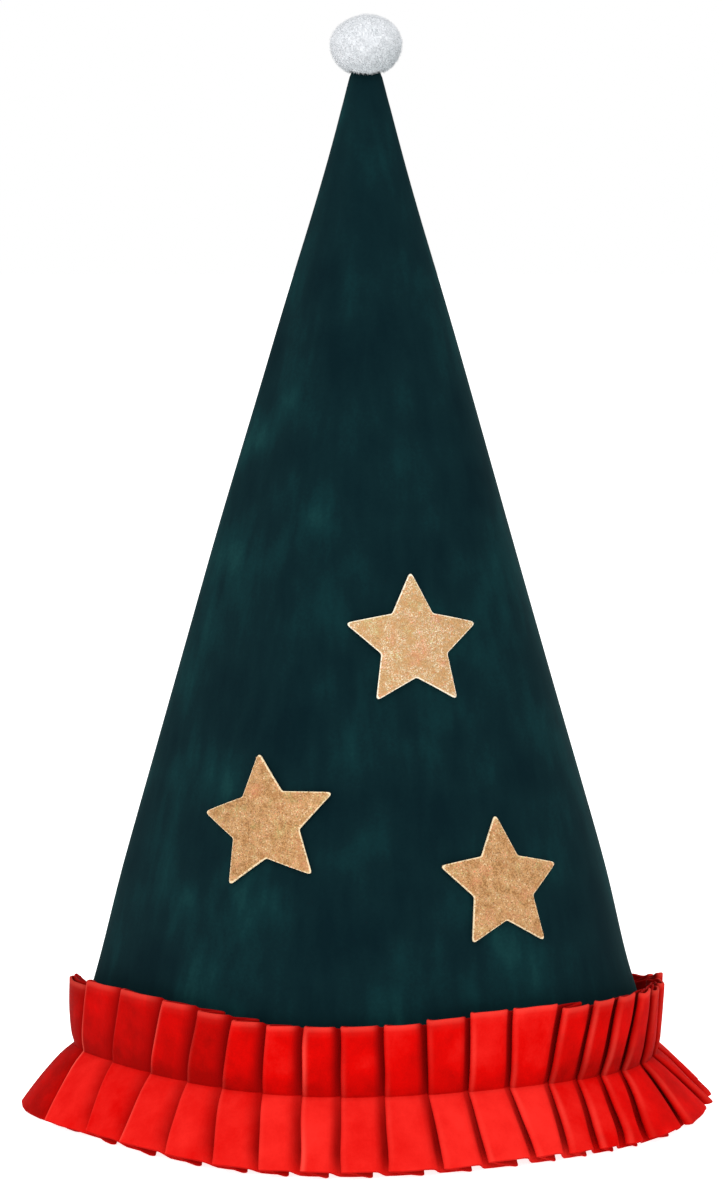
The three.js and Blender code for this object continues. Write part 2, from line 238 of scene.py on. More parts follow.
def bell(value: np.ndarray | float, centre: float, spread: float) -> np.ndarray:
    """A bell curve of height one.

    Args:
        value: Places along it.
        centre: Its middle.
        spread: How far from there it has fallen to 0.37.

    Returns:
        The curve's values.
    """
    return np.exp(-(((value - centre) / spread) ** 2))


def unit(vectors: np.ndarray) -> np.ndarray:
    """Scales vectors to a length of one."""
    return vectors / np.maximum(np.linalg.norm(vectors, axis=-1, keepdims=True), 1e-12)


def ring_faces(rows: int, columns: int, wrap: bool, first: int = 0) -> list[tuple[int, ...]]:
    """Quads between rows of points that all run once round.

    Args:
        rows: How many rows.
        columns: Points in a row.
        wrap: Whether the last row joins the first.
        first: Index of the first point.

    Returns:
        The quads, facing out where the rows run up and the columns run anticlockwise.
    """
    quads = []
    for row in range(rows if wrap else rows - 1):
        low, high = first + row * columns, first + (row + 1) % rows * columns
        for column in range(columns):
            after = (column + 1) % columns
            quads.append((low + column, low + after, high + after, high + column))
    return quads


def make_piece(name: str, points: np.ndarray, faces: list[tuple[int, ...]]) -> bpy.types.Object:
    """Makes a smooth-shaded mesh object with its place in its mesh.

    Args:
        name: The piece's name.
        points: Points in millimetres from the hat's axis, one a row.
        faces: Point indices of each face.

    Returns:
        The new object, linked to the scene.
    """
    mesh = bpy.data.meshes.new(name)
    mesh.from_pydata((points * MM + axis_foot()).tolist(), [], faces)
    mesh.validate()
    mesh.shade_smooth()
    return link_object(name, mesh)


def link_object(name: str, mesh: bpy.types.Mesh) -> bpy.types.Object:
    """Makes an object of a mesh and links it to the scene.

    Args:
        name: The object's name.
        mesh: Its mesh.

    Returns:
        The object.
    """
    piece = bpy.data.objects.new(name, mesh)
    bpy.context.scene.collection.objects.link(piece)
    return piece


def from_bmesh(name: str, shape: bmesh.types.BMesh) -> bpy.types.Mesh:
    """Turns a finished bmesh into a mesh.

    Args:
        name: The mesh's name.
        shape: The bmesh, which is freed.

    Returns:
        The mesh.
    """
    mesh = bpy.data.meshes.new(name)
    shape.to_mesh(mesh)
    shape.free()
    return mesh


def axis_foot() -> np.ndarray:
    """Where the crown's axis meets the floor, in metres, from the middle of the crown's tip."""
    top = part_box("crown")[1].z
    tip = [v.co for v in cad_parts["crown"].data.vertices if v.co.z > top - 1e-6]
    corners = {(round(co.x, 6), round(co.y, 6)) for co in tip}
    return np.array([*np.mean(list(corners), axis=0), 0.0])


def store(piece: bpy.types.Object, name: str, values: np.ndarray) -> None:
    """Stores one number a point on a piece, for its material or its scattering.

    Args:
        piece: The mesh object.
        name: The attribute's name.
        values: One value a point.
    """
    attribute = piece.data.attributes.new(name, "FLOAT", "POINT")
    attribute.data.foreach_set("value", np.asarray(values, np.float32).ravel())


def hand_over(piece: bpy.types.Object, slot: Slot, *nodes: str) -> None:
    """Makes a piece ride on the hat and stand for its nodes.

    Args:
        piece: The finished piece.
        slot: Not used.
        *nodes: The nodes that it stands for.
    """
    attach(piece, BODY)
    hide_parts(*nodes)
    piece.data.calc_loop_triangles()
    log.info("%s: %d triangles", piece.name, len(piece.data.loop_triangles))


# Finishes


@dataclass(frozen=True)
class ClothWave:
    """One of the slow waves that the crown's cloth stands in."""

    laps: int  # waves round the hat
    climb: float  # radians by which they turn from the seam to the top
    start: float
    size: float = 1.0


CLOTH_WAVES = (
    ClothWave(laps=3, climb=5.1, start=0.4),
    ClothWave(laps=5, climb=-3.7, start=2.0, size=0.7),
    ClothWave(laps=8, climb=9.0, start=4.4, size=0.5),
)
CLOTH_WAVES_REACH = 4.4  # from the deepest they can lie to the highest


@dataclass(frozen=True)
class CrownVelvet:
    """Deep teal-green polyester velvet, its short pile brushed down.

    Nearly black, bluer where the pile lies flat and greener where it is crushed or turned, in
    broad soft patches with faint upright streaks.
    """

    shadow: str = "#05191e"
    body: str = "#081f23"
    crushed: str = "#0a282b"
    worn: str = "#143b3b"
    sheen_tint: str = "#5fb0ac"
    patch_mm: float = 32
    streak_width_mm: float = 6.5
    streak_height_mm: float = 46
    grain_mm: float = 1.1  # pile tufts, drawn about three times as coarse as real ones
    streaking: float = 0.33  # share of the streaks beside the patches
    graining: float = 0.12

    def make(self) -> bpy.types.Material:
        """Builds the material on object coordinates, so that its sizes are real ones."""
        material, tree, shader = new_material("brushed_teal_velvet")
        place = add_node(tree, "ShaderNodeTexCoord").outputs["Object"]
        across, high = 1 / (self.streak_width_mm * MM), 1 / (self.streak_height_mm * MM)
        scale = {"Scale": (across, across, high)}
        upright = add_node(tree, "ShaderNodeMapping", scale, {"Vector": place}).outputs["Vector"]
        streaks = add_node(
            tree, "ShaderNodeTexNoise", noise_sizes(1 / MM, 2.0, 0.55), {"Vector": upright}
        ).outputs["Fac"]
        patches = add_node(
            tree, "ShaderNodeTexNoise", noise_sizes(self.patch_mm, 2.5, 0.5), {"Vector": place}
        ).outputs["Fac"]
        grain = add_node(
            tree, "ShaderNodeTexNoise", noise_sizes(self.grain_mm, 2.0, 0.6), {"Vector": place}
        ).outputs["Fac"]
        streaked = add_node(
            tree, "ShaderNodeMix", {0: self.streaking}, {2: patches, 3: streaks}, data_type="FLOAT"
        ).outputs[0]
        grained = add_node(
            tree, "ShaderNodeMix", {0: self.graining}, {2: streaked, 3: grain}, data_type="FLOAT"
        ).outputs[0]
        ramp = add_node(tree, "ShaderNodeValToRGB", links={"Fac": grained})
        stops = [(0.37, self.shadow), (0.5, self.body), (0.6, self.crushed), (0.75, self.worn)]
        set_ramp(ramp, stops)
        add_pile(tree, shader, ramp.outputs["Color"], grained, strength=0.3)
        looks = {"Roughness": 0.92, "Specular IOR Level": 0.03, "Sheen Weight": 0.05}
        looks |= {"Sheen Roughness": 0.35, "Sheen Tint": linear(self.sheen_tint)}
        set_inputs(shader, looks)
        return material


@dataclass(frozen=True)
class RuffleVelvet:
    """Bright red polyester velvet, pressed in pleats.

    Its pile makes some pleats deeper in tone than others, and painted shade and light add to that:
    the far-left pleat and the sides are painted deeper, as they lie in shade, and the flaring lower
    frill lighter than the upright one, as it faces the light. A painted highlight runs along the
    folds, and painted shade lies deep between the layers.
    """

    # a tone ramp with painted shade at its deep end and painted light at its bright end
    deep: str = "#8e0200"
    upright: str = "#c60301"
    lit_flared: str = "#e22720"
    # painted highlight along the folds
    fold_highlight: str = "#ff6656"
    # painted shade between the layers
    recess_shade: str = "#8a0302"
    sheen_tint: str = "#ff6a50"
    mottle_mm: float = 11
    mottling: float = 0.9
    grain_mm: float = 0.9
    graining: float = 0.2

    def make(self) -> bpy.types.Material:
        """Builds the material on the strip's attributes: tone with painted light and shade, painted fold
        highlight, painted shade.
        """
        material, tree, shader = new_material("pleated_red_velvet")
        place = add_node(tree, "ShaderNodeTexCoord").outputs["Object"]
        nap_and_shading, fold, recess_shade = (
            add_node(tree, "ShaderNodeAttribute", attribute_name=name).outputs["Fac"]
            for name in ("nap_and_shading", "fold", "recess_shade")
        )
        mottle = add_node(
            tree, "ShaderNodeTexNoise", noise_sizes(self.mottle_mm, 3.0, 0.55), {"Vector": place}
        ).outputs["Fac"]
        grain = add_node(
            tree, "ShaderNodeTexNoise", noise_sizes(self.grain_mm, 2.0, 0.6), {"Vector": place}
        ).outputs["Fac"]
        mixed = add_node(
            tree, "ShaderNodeMix", {0: self.graining}, {2: mottle, 3: grain}, data_type="FLOAT"
        ).outputs[0]
        span = {1: self.mottling, 2: -self.mottling / 2}
        spread = add_node(tree, "ShaderNodeMath", span, {0: mixed}, operation="MULTIPLY_ADD")
        tone = add_node(tree, "ShaderNodeMath", links={0: nap_and_shading, 1: spread.outputs[0]})
        ramp = add_node(tree, "ShaderNodeValToRGB", links={"Fac": tone.outputs[0]})
        # painted shade and light: deep for the shaded pleats, bright for the lit flaring frill
        set_ramp(ramp, [(0.0, self.deep), (0.45, self.upright), (1.0, self.lit_flared)])
        # painted highlight along the folds and the top edge
        highlighted = add_node(
            tree,
            "ShaderNodeMix",
            {7: linear(self.fold_highlight)},
            {0: fold, 6: ramp.outputs["Color"]},
            data_type="RGBA",
        ).outputs[2]
        # painted shade between the layers and on the inner face
        shaded = add_node(
            tree, "ShaderNodeMix", {7: linear(self.recess_shade)}, {0: recess_shade, 6: highlighted}, data_type="RGBA"
        ).outputs[2]
        add_pile(tree, shader, shaded, mixed, strength=0.4)
        looks = {"Roughness": 0.85, "Specular IOR Level": 0.03, "Sheen Weight": 0.02}
        looks |= {"Sheen Roughness": 0.4, "Sheen Tint": linear(self.sheen_tint)}
        set_inputs(shader, looks)
        return material


@dataclass(frozen=True)
class GlitterBacking:
    """The cut edge and glue face of glitter cloth: pale cream and matt."""

    edge: str = "#f6ead2"
    glue: str = "#b98a58"

    def make(self) -> bpy.types.Material:
        """Builds the material: gold under the flakes, cream along the cut edge."""
        material, tree, shader = new_material("glitter_cloth_backing")
        cover = add_node(tree, "ShaderNodeAttribute", attribute_name="cover").outputs["Fac"]
        ends = {6: linear(self.edge), 7: linear(self.glue)}
        mix = add_node(tree, "ShaderNodeMix", ends, {0: cover}, data_type="RGBA")
        tree.links.new(mix.outputs[2], shader.inputs["Base Color"])
        set_inputs(shader, {"Roughness": 0.7, "Specular IOR Level": 0.3})
        return material


@dataclass(frozen=True)
class GlitterFlake:
    """Champagne-gold polyester glitter: little tilted mirrors under a clear lacquer."""

    deep: str = "#8c6138"
    gold: str = "#c79c6d"
    pale: str = "#e4caa0"
    rose: str = "#dc8462"
    lime: str = "#b9b878"
    stain: str = "#9a6a38"
    shimmer_mm: float = 7
    stain_mm: float = 3.4

    def make(self) -> bpy.types.Material:
        """Builds the material. Each flake has its own tint number."""
        material, tree, shader = new_material("champagne_glitter_flake")
        tint = add_node(tree, "ShaderNodeAttribute", attribute_name="tint")
        ramp = add_node(tree, "ShaderNodeValToRGB", links={"Fac": tint.outputs["Fac"]})
        stops = [(0.0, self.deep), (0.3, self.gold), (0.7, self.gold), (0.84, self.pale)]
        set_ramp(ramp, [*stops, (0.93, self.rose), (1.0, self.lime)])
        place = add_node(tree, "ShaderNodeTexCoord").outputs["Object"]
        shimmer = add_node(
            tree, "ShaderNodeTexNoise", noise_sizes(self.shimmer_mm, 2.0, 0.6), {"Vector": place}
        ).outputs["Fac"]
        stains = add_node(
            tree, "ShaderNodeTexNoise", noise_sizes(self.stain_mm, 2.0, 0.6), {"Vector": place}
        ).outputs["Fac"]
        colour = ramp.outputs["Color"]
        for noise, span, most, tone in (
            (stains, (0.42, 0.62), 0.85, self.stain),
            (shimmer, (0.56, 0.72), 0.45, self.rose),
            (shimmer, (0.42, 0.28), 0.4, self.lime),
        ):
            ends = range_ends(span, (0.0, most))
            share = add_node(tree, "ShaderNodeMapRange", ends, {"Value": noise}).outputs["Result"]
            colour = add_node(
                tree, "ShaderNodeMix", {7: linear(tone)}, {0: share, 6: colour}, data_type="RGBA"
            ).outputs[2]
        tree.links.new(colour, shader.inputs["Base Color"])
        set_inputs(shader, {"Metallic": 0.7, "Roughness": 0.36})
        return material


@dataclass(frozen=True)
class PompomYarn:
    """White brushed acrylic yarn: soft and matt, faintly blue in its painted shade."""

    tip: str = "#e0e2e5"
    deep: str = "#dbdee1"
    shade: str = "#bdc3c6"
    clump_mm: float = 2.4
    shade_way: tuple[float, float, float] = (0.45, 0.0, -0.9)  # to the right and down
    shade_reach: tuple[float, float] = (-338.0, -326.0)  # where it starts and is full, that way

    def make(self) -> bpy.types.Material:
        """Builds the material, with painted shade: greyer to the right and towards the ball's foot."""
        material, tree, shader = new_material("brushed_white_yarn")
        place = add_node(tree, "ShaderNodeTexCoord").outputs["Object"]
        clumps = add_node(
            tree, "ShaderNodeTexNoise", noise_sizes(self.clump_mm, 2, 0.5), {"Vector": place}
        ).outputs["Fac"]
        ramp = add_node(tree, "ShaderNodeValToRGB", links={"Fac": clumps})
        set_ramp(ramp, [(0.3, self.deep), (0.65, self.tip)])
        # painted shade: it grows to the right and down
        way = {1: self.shade_way}
        along = add_node(tree, "ShaderNodeVectorMath", way, {0: place}, operation="DOT_PRODUCT")
        start, full = self.shade_reach
        ends, value = range_ends((start * MM, full * MM)), {"Value": along.outputs["Value"]}
        share = add_node(tree, "ShaderNodeMapRange", ends, value).outputs["Result"]
        shaded = add_node(
            tree,
            "ShaderNodeMix",
            {7: linear(self.shade)},
            {0: share, 6: ramp.outputs["Color"]},
            data_type="RGBA",
        ).outputs[2]
        tree.links.new(shaded, shader.inputs["Base Color"])
        looks = {"Roughness": 0.95, "Specular IOR Level": 0.1}
        set_inputs(shader, looks | {"Sheen Weight": 0.15, "Sheen Roughness": 0.6})
        return material


# Scattering


@dataclass(frozen=True)
class Scatter:
    """Geometry Nodes that sow copies of one small piece over a surface, standing on it."""

    name: str
    per_square_mm: float
    tilt_deg: float
    seed: int
    keeps_ground: bool = False

    def build_tree(self, sown: bpy.types.Object, finish: bpy.types.Material) -> bpy.types.NodeTree:
        """Builds the node tree.

        Args:
            sown: The small piece that is copied.
            finish: The copies' material.

        Returns:
            The tree, with named inputs for its sizes.
        """
        tree = bpy.data.node_groups.new(self.name, "GeometryNodeTree")
        node = partial(add_node, tree)
        numbers = dict.fromkeys(("Density", "Smallest", "Largest", "Tilt"), "Float")
        for label, kind in ({"Geometry": "Geometry"} | numbers | {"Seed": "Int"}).items():
            tree.interface.new_socket(label, in_out="INPUT", socket_type=f"NodeSocket{kind}")
        tree.interface.new_socket(
            "Geometry", in_out="OUTPUT", socket_type="NodeSocketGeometry"
        )
        given = node("NodeGroupInput").outputs
        cover = node("GeometryNodeInputNamedAttribute", {"Name": "cover"}, data_type="FLOAT")
        covered = {0: given["Density"], 1: cover.outputs["Attribute"]}
        density = node("ShaderNodeMath", links=covered, operation="MULTIPLY").outputs[0]
        points = node(
            "GeometryNodeDistributePointsOnFaces",
            links={"Mesh": given["Geometry"], "Density": density, "Seed": given["Seed"]},
            distribute_method="RANDOM",
        )
        tilt = given["Tilt"]
        least = node("ShaderNodeMath", {1: -1.0}, {0: tilt}, operation="MULTIPLY").outputs[0]
        low = node("ShaderNodeCombineXYZ", {"Z": 0.0}, {"X": least, "Y": least})
        high = node("ShaderNodeCombineXYZ", {"Z": 2 * math.pi}, {"X": tilt, "Y": tilt})
        lean = node(
            "FunctionNodeRandomValue",
            links={0: low.outputs[0], 1: high.outputs[0], "Seed": given["Seed"]},
            data_type="FLOAT_VECTOR",
        )
        turned = node(
            "FunctionNodeRotateRotation",
            links={"Rotation": points.outputs["Rotation"], "Rotate By": lean.outputs[0]},
            rotation_space="LOCAL",
        )
        size = node(
            "FunctionNodeRandomValue",
            links={2: given["Smallest"], 3: given["Largest"], "Seed": given["Seed"]},
            data_type="FLOAT",
        )
        seedling = node("GeometryNodeObjectInfo", {"Object": sown}, transform_space="ORIGINAL")
        copies = node(
            "GeometryNodeInstanceOnPoints",
            links={
                "Points": points.outputs["Points"],
                "Instance": seedling.outputs["Geometry"],
                "Rotation": turned.outputs["Rotation"],
                "Scale": size.outputs[1],
            },
        )
        tints = {2: 0.0, 3: 1.0, "Seed": TINT_SEED}
        tint = node("FunctionNodeRandomValue", tints, data_type="FLOAT")
        tinted = node(
            "GeometryNodeStoreNamedAttribute",
            {"Name": "tint"},
            {"Geometry": copies.outputs["Instances"], "Value": tint.outputs[1]},
            data_type="FLOAT",
            domain="INSTANCE",
        )
        real = node("GeometryNodeRealizeInstances", links={"Geometry": tinted.outputs["Geometry"]})
        dressed = node(
            "GeometryNodeSetMaterial", {"Material": finish}, {"Geometry": real.outputs["Geometry"]}
        )
        joined = node("GeometryNodeJoinGeometry", links={0: dressed.outputs["Geometry"]})
        if self.keeps_ground:
            tree.links.new(given["Geometry"], joined.inputs[0])
        node("NodeGroupOutput", links={0: joined.outputs[0]})
        return tree

    def sow(
        self, ground: bpy.types.Object, sown: bpy.types.Object, finish: bpy.types.Material
    ) -> bpy.types.Object:
        """Sows the copies over a piece and turns the result into a plain mesh.

        Args:
            ground: The piece to sow on, with a cover attribute; it stays as it is.
            sown: The small piece that is copied; it is removed.
            finish: The copies' material.

        Returns:
            A new piece with the copies, and with the ground's mesh too if it is kept.
        """
        modifier = ground.modifiers.new(self.name, "NODES")
        modifier.node_group = self.build_tree(sown, finish)
        sizes = {
            "Density": self.per_square_mm / MM**2,
            "Smallest": SMALLEST_COPY,
            "Largest": LARGEST_COPY,
            "Tilt": math.radians(self.tilt_deg),
            "Seed": self.seed,
        }
        for item in modifier.node_group.interface.items_tree:
            if item.in_out == "INPUT" and item.name in sizes:
                modifier[item.identifier] = sizes[item.name]
        graph = bpy.context.evaluated_depsgraph_get()
        mesh = bpy.data.meshes.new_from_object(ground.evaluated_get(graph))
        ground.modifiers.remove(modifier)
        bpy.data.objects.remove(sown)
        return link_object(self.name, mesh)


# The hat's own line: its rim


@dataclass(frozen=True)
class Rim:
    """The line on the crown where the ruffle is stitched, in plan and in height."""

    half_width: float = 101.4
    half_depth: float = 78.2
    pinch: float = 0.26
    skew: float = 0.11
    egg: float = 0.36
    seam_height: float = 21.5
    seam_arch: float = 1.8
    seam_slant: float = 0.4
    steps: int = 2880

    def plan(self, turn: np.ndarray, let_out: float = 0.0) -> np.ndarray:
        """Points of the outline in plan.

        Args:
            turn: Turns round the hat.
            let_out: How much bigger each half size is.

        Returns:
            An x and a y for each turn.
        """
        side = np.sin(turn)
        depth = (self.half_depth + let_out) * np.cos(turn) * self.fullness(side)
        return np.stack([(self.half_width + let_out) * side, -depth], axis=-1)

    def fullness(self, side: np.ndarray) -> np.ndarray:
        """How full the outline is beside an ellipse, from -1 at its left end to 1 at its right."""
        return 1 - self.skew * side - self.pinch * side**2 + self.egg * side**3

    def tangent(self, turn: np.ndarray, let_out: float = 0.0) -> np.ndarray:
        """Directions along the outline, unscaled, for the same arguments as plan."""
        side = np.sin(turn)
        filling = -self.skew - 2 * self.pinch * side + 3 * self.egg * side**2
        deepening = side * self.fullness(side) - np.cos(turn) ** 2 * filling
        along = (self.half_width + let_out) * np.cos(turn)
        return np.stack([along, (self.half_depth + let_out) * deepening], axis=-1)

    def seam(self, turn: np.ndarray) -> np.ndarray:
        """Height of the stitching at each turn."""
        return self.seam_height + self.seam_arch * np.cos(turn) ** 2 - self.seam_slant * np.sin(turn)

    def lengths(self) -> tuple[np.ndarray, np.ndarray]:
        """Evenly spaced turns of one lap and the distance along the outline to each."""
        turns = np.linspace(0, 2 * math.pi, self.steps + 1)
        steps = np.linalg.norm(np.diff(self.plan(turns), axis=0), axis=1)
        return turns, np.concatenate([[0.0], np.cumsum(steps)])

    def length_at(self, turn: np.ndarray) -> np.ndarray:
        """Distance along the outline from the front to each turn."""
        turns, lengths = self.lengths()
        laps = np.floor(turn / (2 * math.pi))
        return laps * lengths[-1] + np.interp(turn - laps * 2 * math.pi, turns, lengths)

    def turn_at(self, length: np.ndarray) -> np.ndarray:
        """Turn at each distance along the outline from the front."""
        turns, lengths = self.lengths()
        laps = np.floor(length / lengths[-1])
        return laps * 2 * math.pi + np.interp(length - laps * lengths[-1], lengths, turns)


def outward(tangent: np.ndarray) -> np.ndarray:
    """Unit directions in plan that look out from an outline, for directions along it."""
    return unit(np.stack([tangent[..., 1], -tangent[..., 0]], axis=-1))


# The crown


@dataclass
class Crown:
    """The tall cone of velvet: one cut of cloth, closed by a seam at the back."""

    rim: Rim
    top: float
    wall: float = 2.0
    tip_radius: float = 4.9
    tip_edge: float = 0.8  # height over which the tip's edge is rounded
    tip_rounding: float = 0.12  # share by which it narrows there
    row_spread: float = 1.15  # over 1, so that the rows lie closer near the foot
    hem: float = 6.0
    gather: float = 3.3
    gather_reach: float = 24.0
    columns: int = 240
    rows: int = 110
    lining_rows: int = 44
    dent: float = 0.8  # how far the standing cloth's soft dents reach, in and out together
    belly: float = 0.8  # how far it bellies out at the left
    foot_slack: tuple[float, float] = (0.5, 2.0)  # how far its foot falls in at the left and right
    foot_bell: tuple[float, float] = (0.085, 0.075)  # how high up, and over how far, as shares
    neck_slack: float = 0.75  # how far it falls in below the tip
    neck_bell: tuple[float, float] = (0.88, 0.1)
    pucker: float = 0.45  # depth of the puckers that the ruffle's pleats press in
    seam_groove: float = 0.8
    seam_width: float = 1.3
    seam_tug: float = 0.3  # how far its stitches tug the cloth beside it
    tug_reach: float = 7
    tug_rhythm: float = 0.55  # radians to a millimetre of height
    puckers: int = 39
    finish: CrownVelvet = field(default_factory=CrownVelvet)

    def face(self, turn: np.ndarray, z: np.ndarray, inset: np.ndarray | float = 0.0) -> np.ndarray:
        """Points of the crown's outer face.

        Args:
            turn: Turns round the hat.
            z: Heights.
            inset: How far inside the face each point is.

        Returns:
            A point for each turn and height.
        """
        seam = self.rim.seam(turn)
        rise = np.clip((z - seam) / (self.top - seam), 0, 1)[..., None]
        tip = self.tip_radius * np.stack([np.sin(turn), -np.cos(turn)], axis=-1)
        tip_tangent = self.tip_radius * np.stack([np.cos(turn), np.sin(turn)], axis=-1)
        tangent = self.rim.tangent(turn, self.gather) * (1 - rise) + tip_tangent * rise
        eased = np.clip(1 - (z - seam) / self.gather_reach, 0, 1)
        plan = self.rim.plan(turn, self.gather) * (1 - rise) + tip * rise
        plan = plan - outward(tangent) * (self.gather * eased**2 + inset)[..., None]
        return np.concatenate([plan, z[..., None]], axis=-1)

    def height_at(self, turn: np.ndarray, rise: np.ndarray | float) -> np.ndarray:
        """Height of a share of the way up the straight face."""
        return self.rim.seam(turn) + (self.top - self.rim.seam(turn)) * rise

    def over(self, turn: np.ndarray, rise: np.ndarray, out: np.ndarray | float) -> np.ndarray:
        """Points square over the crown's face.

        Args:
            turn: Turns round the hat.
            rise: Shares of the way up the straight face.
            out: Distance from the face.

        Returns:
            A point for each turn and rise.
        """
        step = 1e-3
        here = self.face(turn, self.height_at(turn, rise))
        along = self.face(turn + step, self.height_at(turn + step, rise)) - here
        up = self.face(turn, self.height_at(turn, rise + step)) - here
        return here + unit(np.cross(along, up)) * np.asarray(out)[..., None]

    def softness(self, turn: np.ndarray, z: np.ndarray) -> np.ndarray:
        """How far the cloth lies inside its straight face, from its dents, puckers and seam.

        Args:
            turn: Turns round the hat.
            z: Heights.

        Returns:
            The depth at each point, below zero where the cloth stands out a little.
        """
        up = (z - self.rim.seam_height) / (self.top - self.rim.seam_height)
        waves = sum(
            wave.size * np.sin(wave.laps * turn + wave.climb * up + wave.start)
            for wave in CLOTH_WAVES
        )
        calm = ease(up, -0.02, 0.2) * (1 - ease(up, 0.9, 1.0))
        dents = self.dent * (0.2 + waves / CLOTH_WAVES_REACH) * calm
        left, right = ease(-np.sin(turn), 0.6, 1), ease(np.sin(turn), 0.6, 1)
        over_seam = np.maximum(z - self.rim.seam(turn), 0)
        foot = bell(up, *self.foot_bell) * ease(over_seam, 0, self.gather_reach / 2)
        dents += (self.foot_slack[0] * left + self.foot_slack[1] * right) * foot
        dents += self.neck_slack * bell(up, *self.neck_bell)
        dents -= self.belly * left * ease(up, 0.06, 0.2) * (1 - ease(up, 0.5, 0.72))
        near = np.exp(-over_seam / 9) * ease(over_seam, 0, 4)
        puckers = self.pucker * near * (0.5 + 0.5 * np.sin(self.puckers * turn))
        behind = (turn - math.pi) * self.rim.half_width * np.clip(1 - up, 0.03, 1)
        groove = self.seam_groove * bell(behind, 0, self.seam_width)
        stitches = 0.5 + 0.5 * np.sin(z * self.tug_rhythm)
        tugs = self.seam_tug * bell(behind, 0, self.tug_reach) * stitches * calm
        return dents + puckers + groove * (1 - ease(up, 0.93, 1)) + tugs

    def build(self) -> bpy.types.Object:
        """Builds the closed cloth shell: up its face, over the tip and down inside."""
        turn = np.linspace(0, 2 * math.pi, self.columns, endpoint=False)
        seam = self.rim.seam(turn)
        inside_top = self.top - self.wall
        rises = np.linspace(0, 1, self.rows) ** self.row_spread
        low = [self.face(turn, seam - self.hem * s, self.softness(turn, seam)) for s in (0.7, 0.35)]
        outer = [
            self.face(turn, self.height_at(turn, r), self.softness(turn, self.height_at(turn, r)))
            for r in rises
        ]
        for row in outer:
            over = np.clip((row[:, 2] - (self.top - self.tip_edge)) / self.tip_edge, 0, 1)
            row[:, :2] *= (1 - self.tip_rounding * over**2)[:, None]
        inset = np.full_like(turn, self.wall)
        lining = [
            self.face(turn, np.minimum(self.height_at(turn, r), inside_top), inset)
            for r in np.linspace(0, 1, self.lining_rows)
        ]
        tip = [outer[-1] * [s, s, 1] for s in (0.6, 0.2)]
        inner_tip = [lining[-1] * [s, s, 1] for s in (0.6, 0.2)]
        hem_mid = self.face(turn, seam - self.hem - 0.4, inset / 2)
        hem_in = self.face(turn, seam - self.hem * 0.9, inset)
        hem_out = self.face(turn, seam - self.hem * 0.9, np.zeros_like(turn))
        stack = [*inner_tip[::-1], *lining[::-1], hem_in, hem_mid, hem_out, *low, *outer, *tip]
        points = np.concatenate(stack)
        faces = ring_faces(len(stack), self.columns, wrap=False)
        faces.append(tuple(range(self.columns))[::-1])
        last = (len(stack) - 1) * self.columns
        faces.append(tuple(range(last, last + self.columns)))
        piece = make_piece("crown_velvet_cone", points, faces)
        piece.data.materials.append(self.finish.make())
        return piece

    def fan(self) -> tuple[float, float]:
        """The crown unrolled: its slanted length, and the radius of the whole cone's fan."""
        half = self.rim.half_width + self.gather
        slant = math.hypot(half - self.tip_radius, self.top - self.rim.seam_height)
        return slant, slant * half / (half - self.tip_radius)

    def flat_size(self) -> tuple[tuple[float, float], float]:
        """Size of the cut cloth, a fan, laid flat.

        Returns:
            Its width and length in metres, and its area in square metres.
        """
        slant, radius = self.fan()
        angle = self.rim.lengths()[1][-1] / radius
        reach = radius + self.hem
        width = 2 * reach * math.sin(angle / 2)
        area = angle / 2 * (reach**2 - (radius - slant) ** 2)
        return (width * MM, reach * MM), area * MM**2

    def dress(self, piece: bpy.types.Object) -> None:
        """Hands the crown over."""
        hand_over(piece, Slot.CROWN, "crown")
        flat, area = self.flat_size()


# The ruffle


@dataclass(frozen=True)
class SectionPoint:
    """One point of a pleat's section.

    Pleats counts whole pleats to the right of its fold and aside adds millimetres. Raised is its
    share of the pleat's depth, and lift its share of the hem's lift off the floor.
    """

    pleats: float
    aside: float
    raised: float
    lift: float


PLEAT_SECTION = {
    "under the fold": SectionPoint(pleats=0, aside=0.8, raised=0.52, lift=0.8),
    "fold edge": SectionPoint(pleats=0, aside=0, raised=0.76, lift=0.9),
    "over the fold": SectionPoint(pleats=0, aside=0.8, raised=1, lift=1),
    "beside the fold": SectionPoint(pleats=0, aside=2.2, raised=0.98, lift=1),
    "mid panel": SectionPoint(pleats=0.5, aside=0, raised=0.86, lift=1),
    "shoulder": SectionPoint(pleats=1, aside=-3.1, raised=0.66, lift=0.85),
    "panel end": SectionPoint(pleats=1, aside=-0.6, raised=0.1, lift=0.1),
    "underlap": SectionPoint(pleats=1.57, aside=0, raised=0, lift=0),
    "inner fold": SectionPoint(pleats=1.63, aside=0, raised=0.17, lift=0),
    "return": SectionPoint(pleats=1.57, aside=0, raised=0.34, lift=0.05),
}


@dataclass(frozen=True)
class FrontPleat:
    """One pleat that the front shows.

    Its width is a share of the usual pitch, and so are top and hem, which say how far its fold
    has moved to the right at the top edge and at the hem. Tall and curl are millimetres: how much
    higher than usual its top edge stands, and how far its hem curls up. The naps_and_shading run
    from 0, deep, to 1, bright, for the upper and the lower frill: a tone that differs from pleat to
    pleat, with painted shade and light in it, deeper towards the sides, which turn away from the
    light, deepest on the far-left pleat, which lies in shade, and brighter on the lower frill,
    which faces the light. Lit is the strength of the painted highlight along its fold, and shade
    how far the painted shade at its right end reaches over the panel.
    """

    wide: float
    top: float
    hem: float
    tall: float
    curl: float
    naps_and_shading: tuple[float, float]
    lit: float
    shade: float


